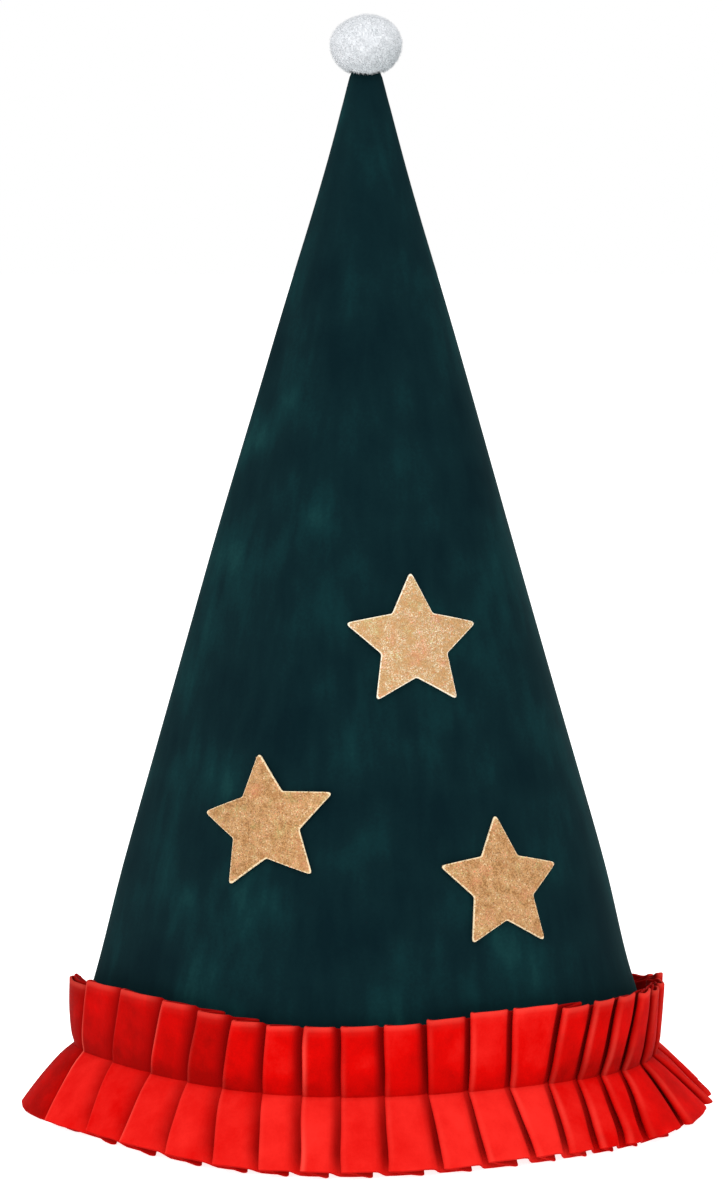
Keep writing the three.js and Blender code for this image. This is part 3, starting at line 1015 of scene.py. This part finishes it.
FRONT_PLEATS = (
    # painted shade: the far-left pleat is deepest, as it lies in shade
    FrontPleat(wide=1.07, top=0.2, hem=0.2, tall=-1.0, curl=-2.2, naps_and_shading=(0.0, 0.1), lit=0, shade=0.2),
    FrontPleat(wide=1.45, top=0.5, hem=0.52, tall=1.6, curl=-1.2, naps_and_shading=(0.25, 0.67), lit=0.8, shade=0.8),
    FrontPleat(wide=1.57, top=0.54, hem=0.7, tall=1.8, curl=0.2, naps_and_shading=(0.21, 0.57), lit=0.05, shade=0.8),
    FrontPleat(wide=1.3, top=0.58, hem=0.38, tall=1.3, curl=0.4, naps_and_shading=(0.27, 0.67), lit=0.35, shade=0.8),
    FrontPleat(wide=1.07, top=0.41, hem=0.42, tall=0, curl=0.2, naps_and_shading=(0.18, 0.67), lit=0.08, shade=0.8),
    FrontPleat(wide=1.09, top=0.37, hem=0.5, tall=-1.4, curl=0, naps_and_shading=(0.33, 0.65), lit=0.1, shade=0.65),
    FrontPleat(wide=0.97, top=0.14, hem=0.39, tall=-2, curl=0, naps_and_shading=(0.47, 0.8), lit=0.06, shade=0.65),
    FrontPleat(wide=0.91, top=0.05, hem=0.18, tall=-2, curl=0, naps_and_shading=(0.43, 0.78), lit=0.35, shade=0.5),
    FrontPleat(wide=1.02, top=0, hem=0, tall=-1.8, curl=0, naps_and_shading=(0.41, 0.74), lit=0.08, shade=0.5),
    FrontPleat(wide=1.06, top=0, hem=-0.1, tall=-1.7, curl=0, naps_and_shading=(0.43, 0.76), lit=0.08, shade=0.5),
    FrontPleat(wide=1.01, top=-0.06, hem=0, tall=-0.5, curl=0, naps_and_shading=(0.43, 0.88), lit=0.06, shade=0.2),
    FrontPleat(wide=1.09, top=0, hem=0, tall=0.7, curl=0.5, naps_and_shading=(0.53, 0.9), lit=0.15, shade=0.1),
    FrontPleat(wide=1.07, top=0.06, hem=0.06, tall=0.9, curl=0.5, naps_and_shading=(0.55, 0.9), lit=0.15, shade=0.1),
    FrontPleat(wide=0.84, top=0.34, hem=-0.17, tall=-0.8, curl=0.2, naps_and_shading=(0.36, 0.6), lit=0.18, shade=0.1),
    FrontPleat(wide=0.75, top=0.49, hem=-0.22, tall=0, curl=0, naps_and_shading=(0.3, 0.5), lit=0.18, shade=0.1),
    FrontPleat(wide=0.75, top=0.54, hem=-0.35, tall=0, curl=0, naps_and_shading=(0.26, 0.46), lit=0.18, shade=0.1),
    FrontPleat(wide=0.95, top=0.57, hem=-0.45, tall=-0.8, curl=0, naps_and_shading=(0.26, 0.4), lit=0.15, shade=0.1),
    FrontPleat(wide=0.95, top=0.5, hem=-0.2, tall=-2.4, curl=0, naps_and_shading=(0.16, 0.35), lit=0.15, shade=0.1),
    FrontPleat(wide=1, top=0.3, hem=0.35, tall=-2.2, curl=0, naps_and_shading=(0.19, 0.25), lit=0.12, shade=0.1),
    FrontPleat(wide=1, top=0.1, hem=-0.1, tall=-1, curl=0, naps_and_shading=(0.19, 0.25), lit=0.1, shade=0.1),
)
BACK_PLEAT = FrontPleat(
    wide=1, top=0, hem=0, tall=0, curl=0, naps_and_shading=(0.4, 0.8), lit=0.12, shade=0.2
)


@dataclass
class Ruffle:
    """One strip of red velvet, pressed in knife pleats and stitched round the rim."""

    rim: Rim
    crown: Crown
    sew_gap: float = 0.15
    wall: float = 0.9  # a little thinner than the solid's, so that three layers lie clear
    layer_gap: float = 0.6
    upper_height: float = 26.4
    upper_slant: float = 0.75
    back_sag: float = 7.0  # how much lower the top edge runs behind, where the frill sags
    sag_end: float = 0.3  # share of the way from side to back where it has sagged that far
    lower_flare: float = 16.2
    top_swell: float = 0.8
    hem_swell: float = 2.2
    top_drop: float = 1.1  # how far the underlaps end below the top edge
    hem_lift: float = 2.7  # how far each panel's hem is off the floor, where its underlap is on it
    pitch: float = 14.0
    first_fold_deg: float = -94.5
    back_variation: float = 0.08
    back_beat: float = 2.4
    tuck_start: float = 0.08  # where the top edge starts to lean in along the crown
    tuck_end: float = 0.5  # and where it follows the crown, as shares from side to back
    fold_wander: float = 0.35  # how far a fold strays at the frill's edges
    fold_sway: float = 0.5  # how far it sways on its way there
    depth_wander: float = 0.16  # share by which pleats differ in depth
    hem_bulge: float = 0.62  # share of the swell that is reached half-way out
    top_bulge: float = 0.85
    thread_dent: float = 0.3  # share by which the stitching flattens the pleats
    dent_reach: float = 3.6
    seam_shade: float = 0.22  # painted shade: how much deeper in tone the upper frill is beside the stitching
    ripple: float = 0.35
    section_steps: int = 3
    frill_rows: int = 13
    edge_steps: int = 4
    seed: int = 11
    finish: RuffleVelvet = field(default_factory=RuffleVelvet)

    def pleats(self) -> list[FrontPleat]:
        """All pleats in turn: the front's, then plain ones behind, fitted to the lap."""
        lap = self.rim.lengths()[1][-1] / self.pitch
        left = lap - sum(pleat.wide for pleat in FRONT_PLEATS)
        behind = max(1, round(left))
        shares = 1 + self.back_variation * np.sin(self.back_beat * np.arange(behind))
        widths = left * shares / shares.sum()
        return [*FRONT_PLEATS, *(replace(BACK_PLEAT, wide=float(wide)) for wide in widths)]

    def section(self, climb: float) -> dict[str, np.ndarray]:
        """The strip's section at one height, as a smooth line through every pleat.

        Args:
            climb: -1 at the hem, 0 at the stitching, 1 at the top edge.

        Returns:
            For each column: its place along the rim, its share of depth, its pleat's depth, its
            share of lift, and how tall and how curled up its pleat is.
        """
        pleats = self.pleats()
        count = len(pleats)
        random = np.random.default_rng(self.seed)
        stray = random.uniform(-1, 1, (2, count))[0 if climb < 0 else 1] * self.fold_wander
        depth = 1 + random.uniform(-1, 1, count) * self.depth_wander
        sways = random.uniform(-1, 1, (2, count)) * self.fold_sway
        stray += sways[0] * math.sin(math.pi * climb) + sways[1] * math.sin(2 * math.pi * climb)
        leans = [pleat.hem if climb < 0 else pleat.top for pleat in pleats]
        widths = np.array([pleat.wide for pleat in pleats]) * self.pitch
        start = float(self.rim.length_at(np.array(math.radians(self.first_fold_deg))))
        folds = start + np.cumsum(widths) - widths
        folds += (np.array(leans) * self.pitch + stray) * abs(climb)
        lap = float(widths.sum())
        folds = np.concatenate([folds, folds[:2] + lap])
        depth = np.concatenate([depth, depth[:2]])
        marks = np.arange(count + 2)
        controls = []
        for at, pleat in enumerate(pleats):
            for point in PLEAT_SECTION.values():
                place = np.interp(at + point.pleats, marks, folds) + point.aside
                share = np.interp(at + point.pleats, marks, depth)
                row = (place, point.raised, share, point.lift, pleat.tall, pleat.curl)
                controls.append(row)
        line = smooth_loop(np.array(controls), lap, self.section_steps, self.wall * 4)
        return dict(zip(("place", "raised", "share", "lift", "tall", "curled"), line.T))

    def middle(self, climb: float) -> np.ndarray:
        """The middle of the cloth in one row.

        Args:
            climb: -1 at the hem, 0 at the stitching, 1 at the top edge.

        Returns:
            A point for each column.
        """
        line = self.section(climb)
        place, raised = line["place"], line["raised"]
        turn = self.rim.turn_at(place)
        seam = self.rim.seam(turn)
        below = climb < 0
        height = abs(climb)
        swell = through_middle(height, self.hem_bulge if below else self.top_bulge)
        swell *= self.hem_swell if below else self.top_swell
        reach = through_middle(height, 0.5) * self.lower_flare if below else 0.0
        stitched = 2 * (self.wall + self.layer_gap)
        pressed = 1 - self.thread_dent * bell(climb * self.upper_height, 0, self.dent_reach)
        loose = 1 + (line["share"] - 1) * height
        ripples = self.ripple * height * np.sin(place * 0.45 + 3 * climb) * np.sin(place * 0.13)
        raise_by = raised * (stitched * pressed + swell) * loose + ripples * raised
        out = self.sew_gap + self.wall / 2 + reach + raise_by
        sag = self.back_sag * ease(-np.cos(turn), 0, self.sag_end)
        upper = self.upper_height + self.upper_slant * np.sin(turn) + line["tall"] - sag
        upper -= self.top_drop * (1 - ease(raised, 0.15, 0.6)) * height**2
        lower = seam - np.maximum(line["lift"], 0) * (self.hem_lift + line["curled"] * height)
        z = seam + climb * ((lower if below else upper) - self.wall / 2)
        behind = ease(-np.cos(turn), self.tuck_start, self.tuck_end) * (climb > 0)
        base = self.rim.plan(turn)
        base += (self.crown.face(turn, z)[:, :2] - base) * behind[:, None]
        plan = base + outward(self.rim.tangent(turn)) * out[:, None]
        return np.concatenate([plan, z[:, None]], axis=1)

    def build(self) -> bpy.types.Object:
        """Builds the closed strip, with rounded edges, and its tones."""
        half = self.wall / 2
        rises = (1 - np.cos(np.linspace(0, math.pi, self.frill_rows))) / 2
        climbs = np.concatenate([-rises[::-1], rises[1:]])
        grid = np.array([self.middle(float(climb)) for climb in climbs])
        along = np.roll(grid, -1, axis=1) - np.roll(grid, 1, axis=1)
        up = np.gradient(grid, axis=0)
        normal = unit(np.cross(along, up))
        rows = [grid[at] + normal[at] * half for at in range(len(grid))]
        rows += self.edge(grid[-1], normal[-1], unit(up[-1]), half)
        rows += [grid[at] - normal[at] * half for at in reversed(range(len(grid)))]
        rows += self.edge(grid[0], -normal[0], -unit(up[0]), half)
        rims = np.ones(self.edge_steps - 1)
        piece = make_piece(
            "ruffle_pleated_strip",
            np.concatenate(rows),
            ring_faces(len(rows), grid.shape[1], wrap=True),
        )
        self.tone(piece, np.concatenate([climbs, rims, climbs[::-1], -rims]), len(grid))
        piece.data.materials.append(self.finish.make())
        return piece

    def edge(
        self, middle: np.ndarray, normal: np.ndarray, over: np.ndarray, half: float
    ) -> list[np.ndarray]:
        """Rows that round over a cut edge.

        Args:
            middle: Middle of the cloth along the edge.
            normal: Directions from the middle to the face that the rows start from.
            over: Directions past the edge.
            half: Half the cloth's thickness.

        Returns:
            The rows between the two faces.
        """
        angles = [math.pi * at / self.edge_steps for at in range(1, self.edge_steps)]
        return [middle + (normal * math.cos(a) + over * math.sin(a)) * half for a in angles]

    def tone(self, piece: bpy.types.Object, climbs: np.ndarray, face_rows: int) -> None:
        """Stores each pleat's tone with painted light and shade, its painted fold highlight and its
        painted shade.

        Args:
            piece: The strip.
            climbs: Climb of each row of points.
            face_rows: How many rows the outer face has.
        """
        pleats = self.pleats()
        per_pleat = len(PLEAT_SECTION) * self.section_steps
        column = np.arange(len(pleats) * per_pleat)
        at = column % per_pleat / self.section_steps
        names = list(PLEAT_SECTION)
        over, shoulder = names.index("over the fold"), names.index("shoulder")
        # painted highlight: a narrow band over each fold edge
        edge = bell(at, over - 0.2, 0.5)
        # painted shade: at each panel's right end, under the next fold, and under each fold
        shaded = np.repeat([pleat.shade for pleat in pleats], per_pleat)
        hidden_shade = ease(at, shoulder - shaded, shoulder + 0.3) + (1 - ease(at, 0.1, 0.8))
        outer = np.zeros(len(climbs))
        outer[: face_rows + self.edge_steps - 1] = 1
        # painted highlight along the top edge
        lip = bell(climbs, 1, 0.05) * outer
        lit = np.repeat([pleat.lit for pleat in pleats], per_pleat) * edge
        beat = np.floor(column / per_pleat) * 1.7
        # the painted fold highlight waxes and wanes along the height; it is not wear
        worn = 0.65 + 0.35 * np.sin(4.3 * climbs[:, None] + beat[None, :])
        fold = np.maximum(lit[None, :] * worn * outer[:, None], 0.2 * lip[:, None])
        store(piece, "fold", np.clip(fold, 0, 1))
        # painted shade: full on the upper frill, less on the lower one towards its hem
        depth = np.where(climbs > 0, 1.0, 0.6 - 0.35 * ease(-climbs, 0.75, 0.95)) * outer
        # a painted shade line along the stitching
        stitched = 0.3 * bell(climbs, 0, 0.04) * outer
        # painted shade over the whole inner face
        recess_shade = np.clip(hidden_shade, 0, 1)[None, :] * depth[:, None] + 0.6 * (1 - outer[:, None])
        recess_shade = np.maximum(recess_shade, stitched[:, None])
        store(piece, "recess_shade", np.clip(recess_shade, 0, 1))
        upper, lower = np.repeat([pleat.naps_and_shading for pleat in pleats], per_pleat, axis=0).T
        # painted shade on the upper frill beside the stitching
        near_seam = self.seam_shade * bell(climbs, 0, 0.3) * (climbs >= 0)
        nap_and_shading = np.where(climbs[:, None] < 0, lower[None, :], upper[None, :])
        store(piece, "nap_and_shading", nap_and_shading - near_seam[:, None])

    def flat_size(self) -> tuple[float, float]:
        """Length and width of the strip laid flat, in metres."""
        seam_line = self.middle(0.0)
        steps = np.linalg.norm(np.roll(seam_line, -1, axis=0) - seam_line, axis=1)
        drop = math.hypot(self.rim.seam_height, self.lower_flare)
        return steps.sum() * MM, (self.upper_height + drop) * MM

    def dress(self, piece: bpy.types.Object) -> None:
        """Hands the ruffle over."""
        hand_over(piece, Slot.RUFFLE, "ruffle")
        self.flat_size()


def smooth_loop(controls: np.ndarray, lap: float, steps: int, depth: float) -> np.ndarray:
    """A centripetal Catmull-Rom line through control points that repeat every lap.

    Args:
        controls: Rows of numbers; the first number grows by one lap a round.
        lap: The length of one round.
        steps: Points for each stretch between two controls.
        depth: What one unit of the second number is worth beside the first.

    Returns:
        The line's points, starting at the first control.
    """
    count = len(controls)
    shift = np.zeros(controls.shape[1])
    shift[0] = lap
    before = np.vstack([controls[-1:] - shift, controls[:-1]])
    after = np.vstack([controls[1:], controls[:1] + shift])
    beyond = np.vstack([controls[2:], controls[:2] + shift])

    def knot(one: np.ndarray, two: np.ndarray) -> np.ndarray:
        """Root of the distance between neighbours."""
        gap = np.hypot(two[:, 0] - one[:, 0], (two[:, 1] - one[:, 1]) * depth)
        return np.sqrt(np.maximum(gap, 1e-6))[:, None]

    t1 = knot(before, controls)
    t2 = t1 + knot(controls, after)
    t3 = t2 + knot(after, beyond)
    line = np.empty((count * steps, controls.shape[1]))
    for step in range(steps):
        t = t1 + (t2 - t1) * step / steps
        a1 = (t1 - t) / t1 * before + t / t1 * controls
        a2 = (t2 - t) / (t2 - t1) * controls + (t - t1) / (t2 - t1) * after
        a3 = (t3 - t) / (t3 - t2) * after + (t - t2) / (t3 - t2) * beyond
        b1 = (t2 - t) / t2 * a1 + t / t2 * a2
        b2 = (t3 - t) / (t3 - t1) * a2 + (t - t1) / (t3 - t1) * a3
        line[step::steps] = (t2 - t) / (t2 - t1) * b1 + (t - t1) / (t2 - t1) * b2
    return line


# The stars


@dataclass
class StarPatch:
    """A five-pointed patch of glitter cloth, pressed on the crown's front."""

    crown: Crown
    node: str
    turn_deg: float
    rise: float
    roll_deg: float
    seed: int
    narrow: float = 1.0  # how wide it is cut beside its height
    radius: float = 24.8
    waist: float = 0.5
    tip_round: float = 2.2
    waist_round: float = 0.8
    wall: float = 1.0
    gap: float = 0.3
    edge_round: float = 0.35
    bare_edge: float = 1.1  # how far in from the cut the glitter starts
    points: int = 5
    edge_steps: int = 10
    flake_mm: float = 0.6  # a coarse craft glitter, drawn about twice as coarse as the real one
    flake_layers: float = 2.6
    flake_tilt_deg: float = 24
    flake_height: float = 0.05
    backing: GlitterBacking = field(default_factory=GlitterBacking)
    flake: GlitterFlake = field(default_factory=GlitterFlake)

    def outline(self) -> np.ndarray:
        """Points round the flat star, with its tips and waists rounded."""
        angles = math.pi / 2 + math.pi / self.points * np.arange(2 * self.points)
        reach = np.where(np.arange(2 * self.points) % 2 == 0, 1, self.waist) * self.radius
        corners = np.stack([np.cos(angles), np.sin(angles)], axis=-1) * reach[:, None]
        line = []
        for at, corner in enumerate(corners):
            before, after = corners[at - 1], corners[(at + 1) % len(corners)]
            round_by = self.tip_round if at % 2 == 0 else self.waist_round
            start = corner + unit(before - corner) * round_by
            end = corner + unit(after - corner) * round_by
            next_round = self.waist_round if at % 2 == 0 else self.tip_round
            for s in np.linspace(0, 1, 7):
                line.append((1 - s) ** 2 * start + 2 * s * (1 - s) * corner + s**2 * end)
            stop = after + unit(corner - after) * next_round
            line += [end + (stop - end) * s for s in np.linspace(0, 1, self.edge_steps)[1:-1]]
        return np.array(line) * [self.narrow, 1]

    def lay(self, flat: np.ndarray, out: np.ndarray | float) -> np.ndarray:
        """Lays flat points on the crown, whose face unrolls to a fan.

        Args:
            flat: Points of the patch, across and up from its middle.
            out: Distance from the crown's face.

        Returns:
            The points in space.
        """
        crown = self.crown
        slant, fan = crown.fan()
        centre = fan - slant * self.rise
        roll = math.radians(self.roll_deg)
        x = flat[:, 0] * math.cos(roll) - flat[:, 1] * math.sin(roll)
        y = flat[:, 0] * math.sin(roll) + flat[:, 1] * math.cos(roll)
        radius = np.hypot(x, centre - y)
        swing = np.arctan2(x, centre - y)
        start = crown.rim.length_at(np.array(math.radians(self.turn_deg)))
        turn = crown.rim.turn_at(start + swing * fan)
        return crown.over(turn, (fan - radius) / slant, out)

    def build(self) -> bpy.types.Object:
        """Builds the patch with its rounded cut edge."""
        outline = self.outline()
        inner = 1 - self.edge_round / self.radius
        bare = 1 - self.bare_edge / self.radius
        face = [0.1, 0.25, 0.4, 0.55, 0.7, 0.82, 0.9, bare, inner]
        rows = [(scale, self.gap) for scale in face]
        rows += [(1.0, self.gap + 0.25 * self.wall), (1.0, self.gap + 0.7 * self.wall)]
        rows += [(scale, self.gap + self.wall) for scale in reversed(face)]
        points = np.concatenate([self.lay(outline * scale, out) for scale, out in rows])
        faces = ring_faces(len(rows), len(outline), wrap=False)
        last = (len(rows) - 1) * len(outline)
        faces.append(tuple(range(len(outline)))[::-1])
        faces.append(tuple(range(last, last + len(outline))))
        piece = make_piece(f"{self.node}_patch", points, faces)
        glued = [out == self.gap + self.wall and scale <= bare for scale, out in rows]
        store(piece, "cover", np.repeat(glued, len(outline)).astype(float))
        piece.data.materials.append(self.backing.make())
        return piece

    def sow_glitter(self, patch: bpy.types.Object) -> bpy.types.Object:
        """Sows the glitter over the patch's face.

        Args:
            patch: The patch, with its cover attribute.

        Returns:
            The glitter, as a piece of its own.
        """
        density = self.flake_layers / self.flake_mm**2
        scatter = Scatter(f"{self.node}_glitter", density, self.flake_tilt_deg, self.seed)
        return scatter.sow(patch, self.make_flake(), self.flake.make())

    def make_flake(self) -> bpy.types.Object:
        """Makes one four-sided flake, a very flat pyramid lying at the origin."""
        shape = bmesh.new()
        radius, lift = self.flake_mm / 2 * MM, self.flake_height * MM
        bmesh.ops.create_cone(
            shape, segments=4, radius1=radius, radius2=0, depth=lift, cap_ends=True
        )
        bmesh.ops.translate(shape, verts=shape.verts, vec=(0, 0, lift))
        return link_object("flake", from_bmesh("flake", shape))

    def dress(self, piece: bpy.types.Object, glitter: bpy.types.Object) -> None:
        """Hands the patch over, with its glitter on it.

        Args:
            piece: The patch.
            glitter: Its glitter.
        """
        hand_over(piece, Slot.STAR, self.node)
        hand_over(glitter, Slot.STAR, self.node)
        area = polygon_area(self.outline()) * MM**2


def polygon_area(outline: np.ndarray) -> float:
    """Area inside a closed flat outline."""
    after = np.roll(outline, -1, axis=0)
    return abs(float(np.sum(outline[:, 0] * after[:, 1] - outline[:, 1] * after[:, 0]))) / 2


# The pompom


@dataclass
class Pompom:
    """A ball of brushed yarn tied over the crown's tip."""

    crown: Crown
    radius: float = 12.6
    half_height: float = 11.3
    seat: float = 3.6
    gap: float = 0.3
    core_share: float = 0.95
    crest: float = 0.9  # how much flatter it is above its middle
    skew: float = 0.06  # how far its right side stands up
    droop: float = 1.7  # how far its foot hangs over the front of the tip
    socket_width: float = 1.16  # the socket's radius below, as a share of the tip's
    fibre_length: float = 1.3
    fibre_width: float = 0.17
    fibre_bend: float = 0.3  # share of its length by which a fibre's end leans over
    fibre_root: float = 0.4  # how deep it is set in the core
    fibre_tilt_deg: float = 34
    fibres: int = 15500
    seed: int = 5
    finish: PompomYarn = field(default_factory=PompomYarn)

    def build(self) -> bpy.types.Object:
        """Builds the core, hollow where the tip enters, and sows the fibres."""
        shape = bmesh.new()
        bmesh.ops.create_icosphere(shape, subdivisions=5, radius=1)
        middle = self.crown.top - self.seat + self.half_height
        size = np.array([self.radius, self.radius, self.half_height]) * self.core_share
        socket = self.crown.tip_radius * self.socket_width
        foot = axis_foot()
        for vert in shape.verts:
            way = np.array(vert.co)
            bumps = 0.03 * math.sin(9 * way[0] + 2) * math.sin(8 * way[1]) * math.sin(10 * way[2] + 1)
            place = way * size * (1 + bumps)
            if place[2] > 0:
                place[2] *= self.crest + self.skew * way[0]
            reach = math.hypot(place[0], place[1])
            if place[2] < 0 and reach < socket:
                place[2] = max(place[2], self.seat + self.gap - self.half_height)
            elif place[2] < 0:
                lip = bell(reach, socket + 0.6, 2.4)
                front = max(-way[1], 0) ** 0.5 * bell(place[0], 0, 3.6)
                place[2] -= self.droop * lip * front
            vert.co = (place + [0, 0, middle]) * MM + foot
        mesh = from_bmesh("pompom_core", shape)
        mesh.shade_smooth()
        piece = link_object("pompom_core", mesh)
        plan = np.array([np.hypot(*(np.array(v.co)[:2] - foot[:2])) / MM for v in mesh.vertices])
        low = np.array([v.co.z / MM < middle for v in mesh.vertices])
        store(piece, "cover", np.where(low & (plan < socket + 0.4), 0.0, 1.0))
        finish = self.finish.make()
        mesh.materials.append(finish)
        density = self.fibres / (4 * math.pi * (self.radius * self.core_share) ** 2)
        tilt = self.fibre_tilt_deg
        scatter = Scatter("pompom_yarn_ball", density, tilt, self.seed, keeps_ground=True)
        ball = scatter.sow(piece, self.make_fibre(), finish)
        bpy.data.objects.remove(piece)
        return ball

    def make_fibre(self) -> bpy.types.Object:
        """Makes one bent, tapered, three-sided fibre that stands at the origin."""
        rings, sides = 2, 3
        points = []
        for share in np.arange(rings) / rings:
            bend = self.fibre_bend * self.fibre_length * share**2
            width = self.fibre_width * (1 - 0.45 * share)
            for angle in 2 * math.pi * np.arange(sides) / sides:
                x, y = width / 2 * math.cos(angle) + bend, width / 2 * math.sin(angle)
                points.append((x, y, self.fibre_length * share - self.fibre_root))
        end = self.fibre_length - self.fibre_root
        points.append((self.fibre_bend * self.fibre_length, 0, end))
        last = (rings - 1) * sides
        faces = ring_faces(rings, sides, wrap=False)
        faces += [(last + at, last + (at + 1) % sides, rings * sides) for at in range(sides)]
        faces.append(tuple(range(sides))[::-1])
        mesh = bpy.data.meshes.new("fibre")
        mesh.from_pydata((np.array(points) * MM).tolist(), [], faces)
        mesh.shade_smooth()
        return link_object("fibre", mesh)

    def dress(self, piece: bpy.types.Object) -> None:
        """Hands the pompom over."""
        hand_over(piece, Slot.POMPOM, "pompom")


# The studio


@dataclass
class Studio:
    """A white floor, soft light and the camera at the photograph's angle, in metres."""

    distance: float = 1.2
    height: float = 0.3215
    aside: float = -0.00151  # from the hat's axis
    pitch_deg: float = 6.643
    lens: float = 102.6
    floor: str = "#ffffff"
    floor_radius: float = 14.0
    floor_glow: tuple[float, float] = (0.85, 0.4)  # painted light: the floor glows, more so by the hem, to wash out the hat's contact shadow
    dark_oval: tuple[float, float] = (98.0, 70.0)  # but not under the hat
    softbox_place: tuple[float, float, float] = (-0.15, -1.0, 1.75)
    softbox_side: float = 1.0
    softbox_watts: float = 14
    aim_height: float = 0.15

    def lay_floor(self) -> None:
        """Lays the floor under the hat."""
        shape = bmesh.new()
        bmesh.ops.create_circle(shape, cap_ends=True, segments=96, radius=self.floor_radius)
        material, tree, shader = new_material("white_studio_paper")
        scale = {"Scale": tuple(1 / (half * MM) for half in (*self.dark_oval, 1e6))}
        place = add_node(tree, "ShaderNodeTexCoord").outputs["Object"]
        spread = add_node(tree, "ShaderNodeMapping", scale, {"Vector": place})
        ovals = {0: spread.outputs["Vector"]}
        reach = add_node(tree, "ShaderNodeVectorMath", links=ovals, operation="LENGTH")
        value = {"Value": reach.outputs["Value"]}
        # painted light: a glow round the hem that washes out the contact shadow
        fading = range_ends((1.35, 1.6), self.floor_glow)
        fade = add_node(tree, "ShaderNodeMapRange", fading, value)
        glow = add_node(tree, "ShaderNodeMapRange", range_ends((0.95, 1.0)), value)
        tree.links.new(fade.outputs["Result"], glow.inputs["To Max"])
        tree.links.new(glow.outputs["Result"], shader.inputs["Emission Strength"])
        looks = {"Base Color": linear(self.floor), "Emission Color": linear(self.floor)}
        set_inputs(shader, looks | {"Roughness": 1.0, "Specular IOR Level": 0.0})
        floor = link_object("studio_floor", from_bmesh("studio_floor", shape))
        floor.data.materials.append(material)

    def light(self) -> None:
        """Lights the hat: a white room and a soft key light from above and in front."""
        world = bpy.data.worlds.new("white_room")
        world.use_nodes = True
        white = {"Color": (1, 1, 1, 1), "Strength": 1.0}
        set_inputs(world.node_tree.nodes["Background"], white)
        bpy.context.scene.world = world
        data = bpy.data.lights.new("top_softbox", "AREA")
        data.size, data.energy = self.softbox_side, self.softbox_watts
        lamp = bpy.data.objects.new("top_softbox", data)
        lamp.location = self.softbox_place
        aim = Vector((0, 0, self.aim_height)) - Vector(self.softbox_place)
        lamp.rotation_euler = aim.to_track_quat("-Z", "Y").to_euler()
        bpy.context.scene.collection.objects.link(lamp)

    def place_camera(self) -> None:
        """Places the camera in front of the hat, a little above its middle."""
        data = bpy.data.cameras.new("front_camera")
        data.lens, data.sensor_width = self.lens, 36
        data.clip_start, data.clip_end = 0.05, 60
        camera = bpy.data.objects.new("front_camera", data)
        camera.location = (axis_foot()[0] + self.aside, -self.distance, self.height)
        camera.rotation_euler = (math.radians(90 - self.pitch_deg), 0, 0)
        bpy.context.scene.collection.objects.link(camera)
        bpy.context.scene.camera = camera

    def set_up(self) -> None:
        """Sets up the whole studio, with colours shown as they are."""
        self.place_camera()
        self.lay_floor()
        self.light()
        bpy.context.scene.view_settings.view_transform = "Standard"


def main() -> None:
    """Builds the studio and the hat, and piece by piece."""
    logging.basicConfig(level=logging.INFO, format="%(name)s: %(message)s")
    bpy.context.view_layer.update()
    Studio().set_up()
    rim = Rim()
    crown = Crown(rim, top=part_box("crown")[1].z / MM)
    crown.dress(crown.build())
    ruffle = Ruffle(rim, crown)
    ruffle.dress(ruffle.build())
    # painted light and shade on copies of one glitter cloth: the upper star's flakes are painted paler, as
    # lit, and the side stars' cut edges deeper, as shaded
    pale = GlitterFlake(deep="#a5865d", gold="#d2b892", pale="#eadcc0", stain="#b8905e")
    shaded_edge_backing = GlitterBacking(edge="#ecd6b0")
    for star in (
        StarPatch(crown, "star_upper", 15.3, 0.4332, -1.0, seed=21, narrow=0.96, flake=pale),
        StarPatch(crown, "star_left", -25.7, 0.257, 12.3, seed=22, narrow=1.05, backing=shaded_edge_backing),
        StarPatch(crown, "star_right", 32.9, 0.195, -2.6, seed=23, narrow=0.93, backing=shaded_edge_backing),
    ):
        patch = star.build()
        star.dress(patch, star.sow_glitter(patch))
    pompom = Pompom(crown)
    pompom.dress(pompom.build())
    bpy.context.view_layer.update()


if __name__ == "__main__":
    main()
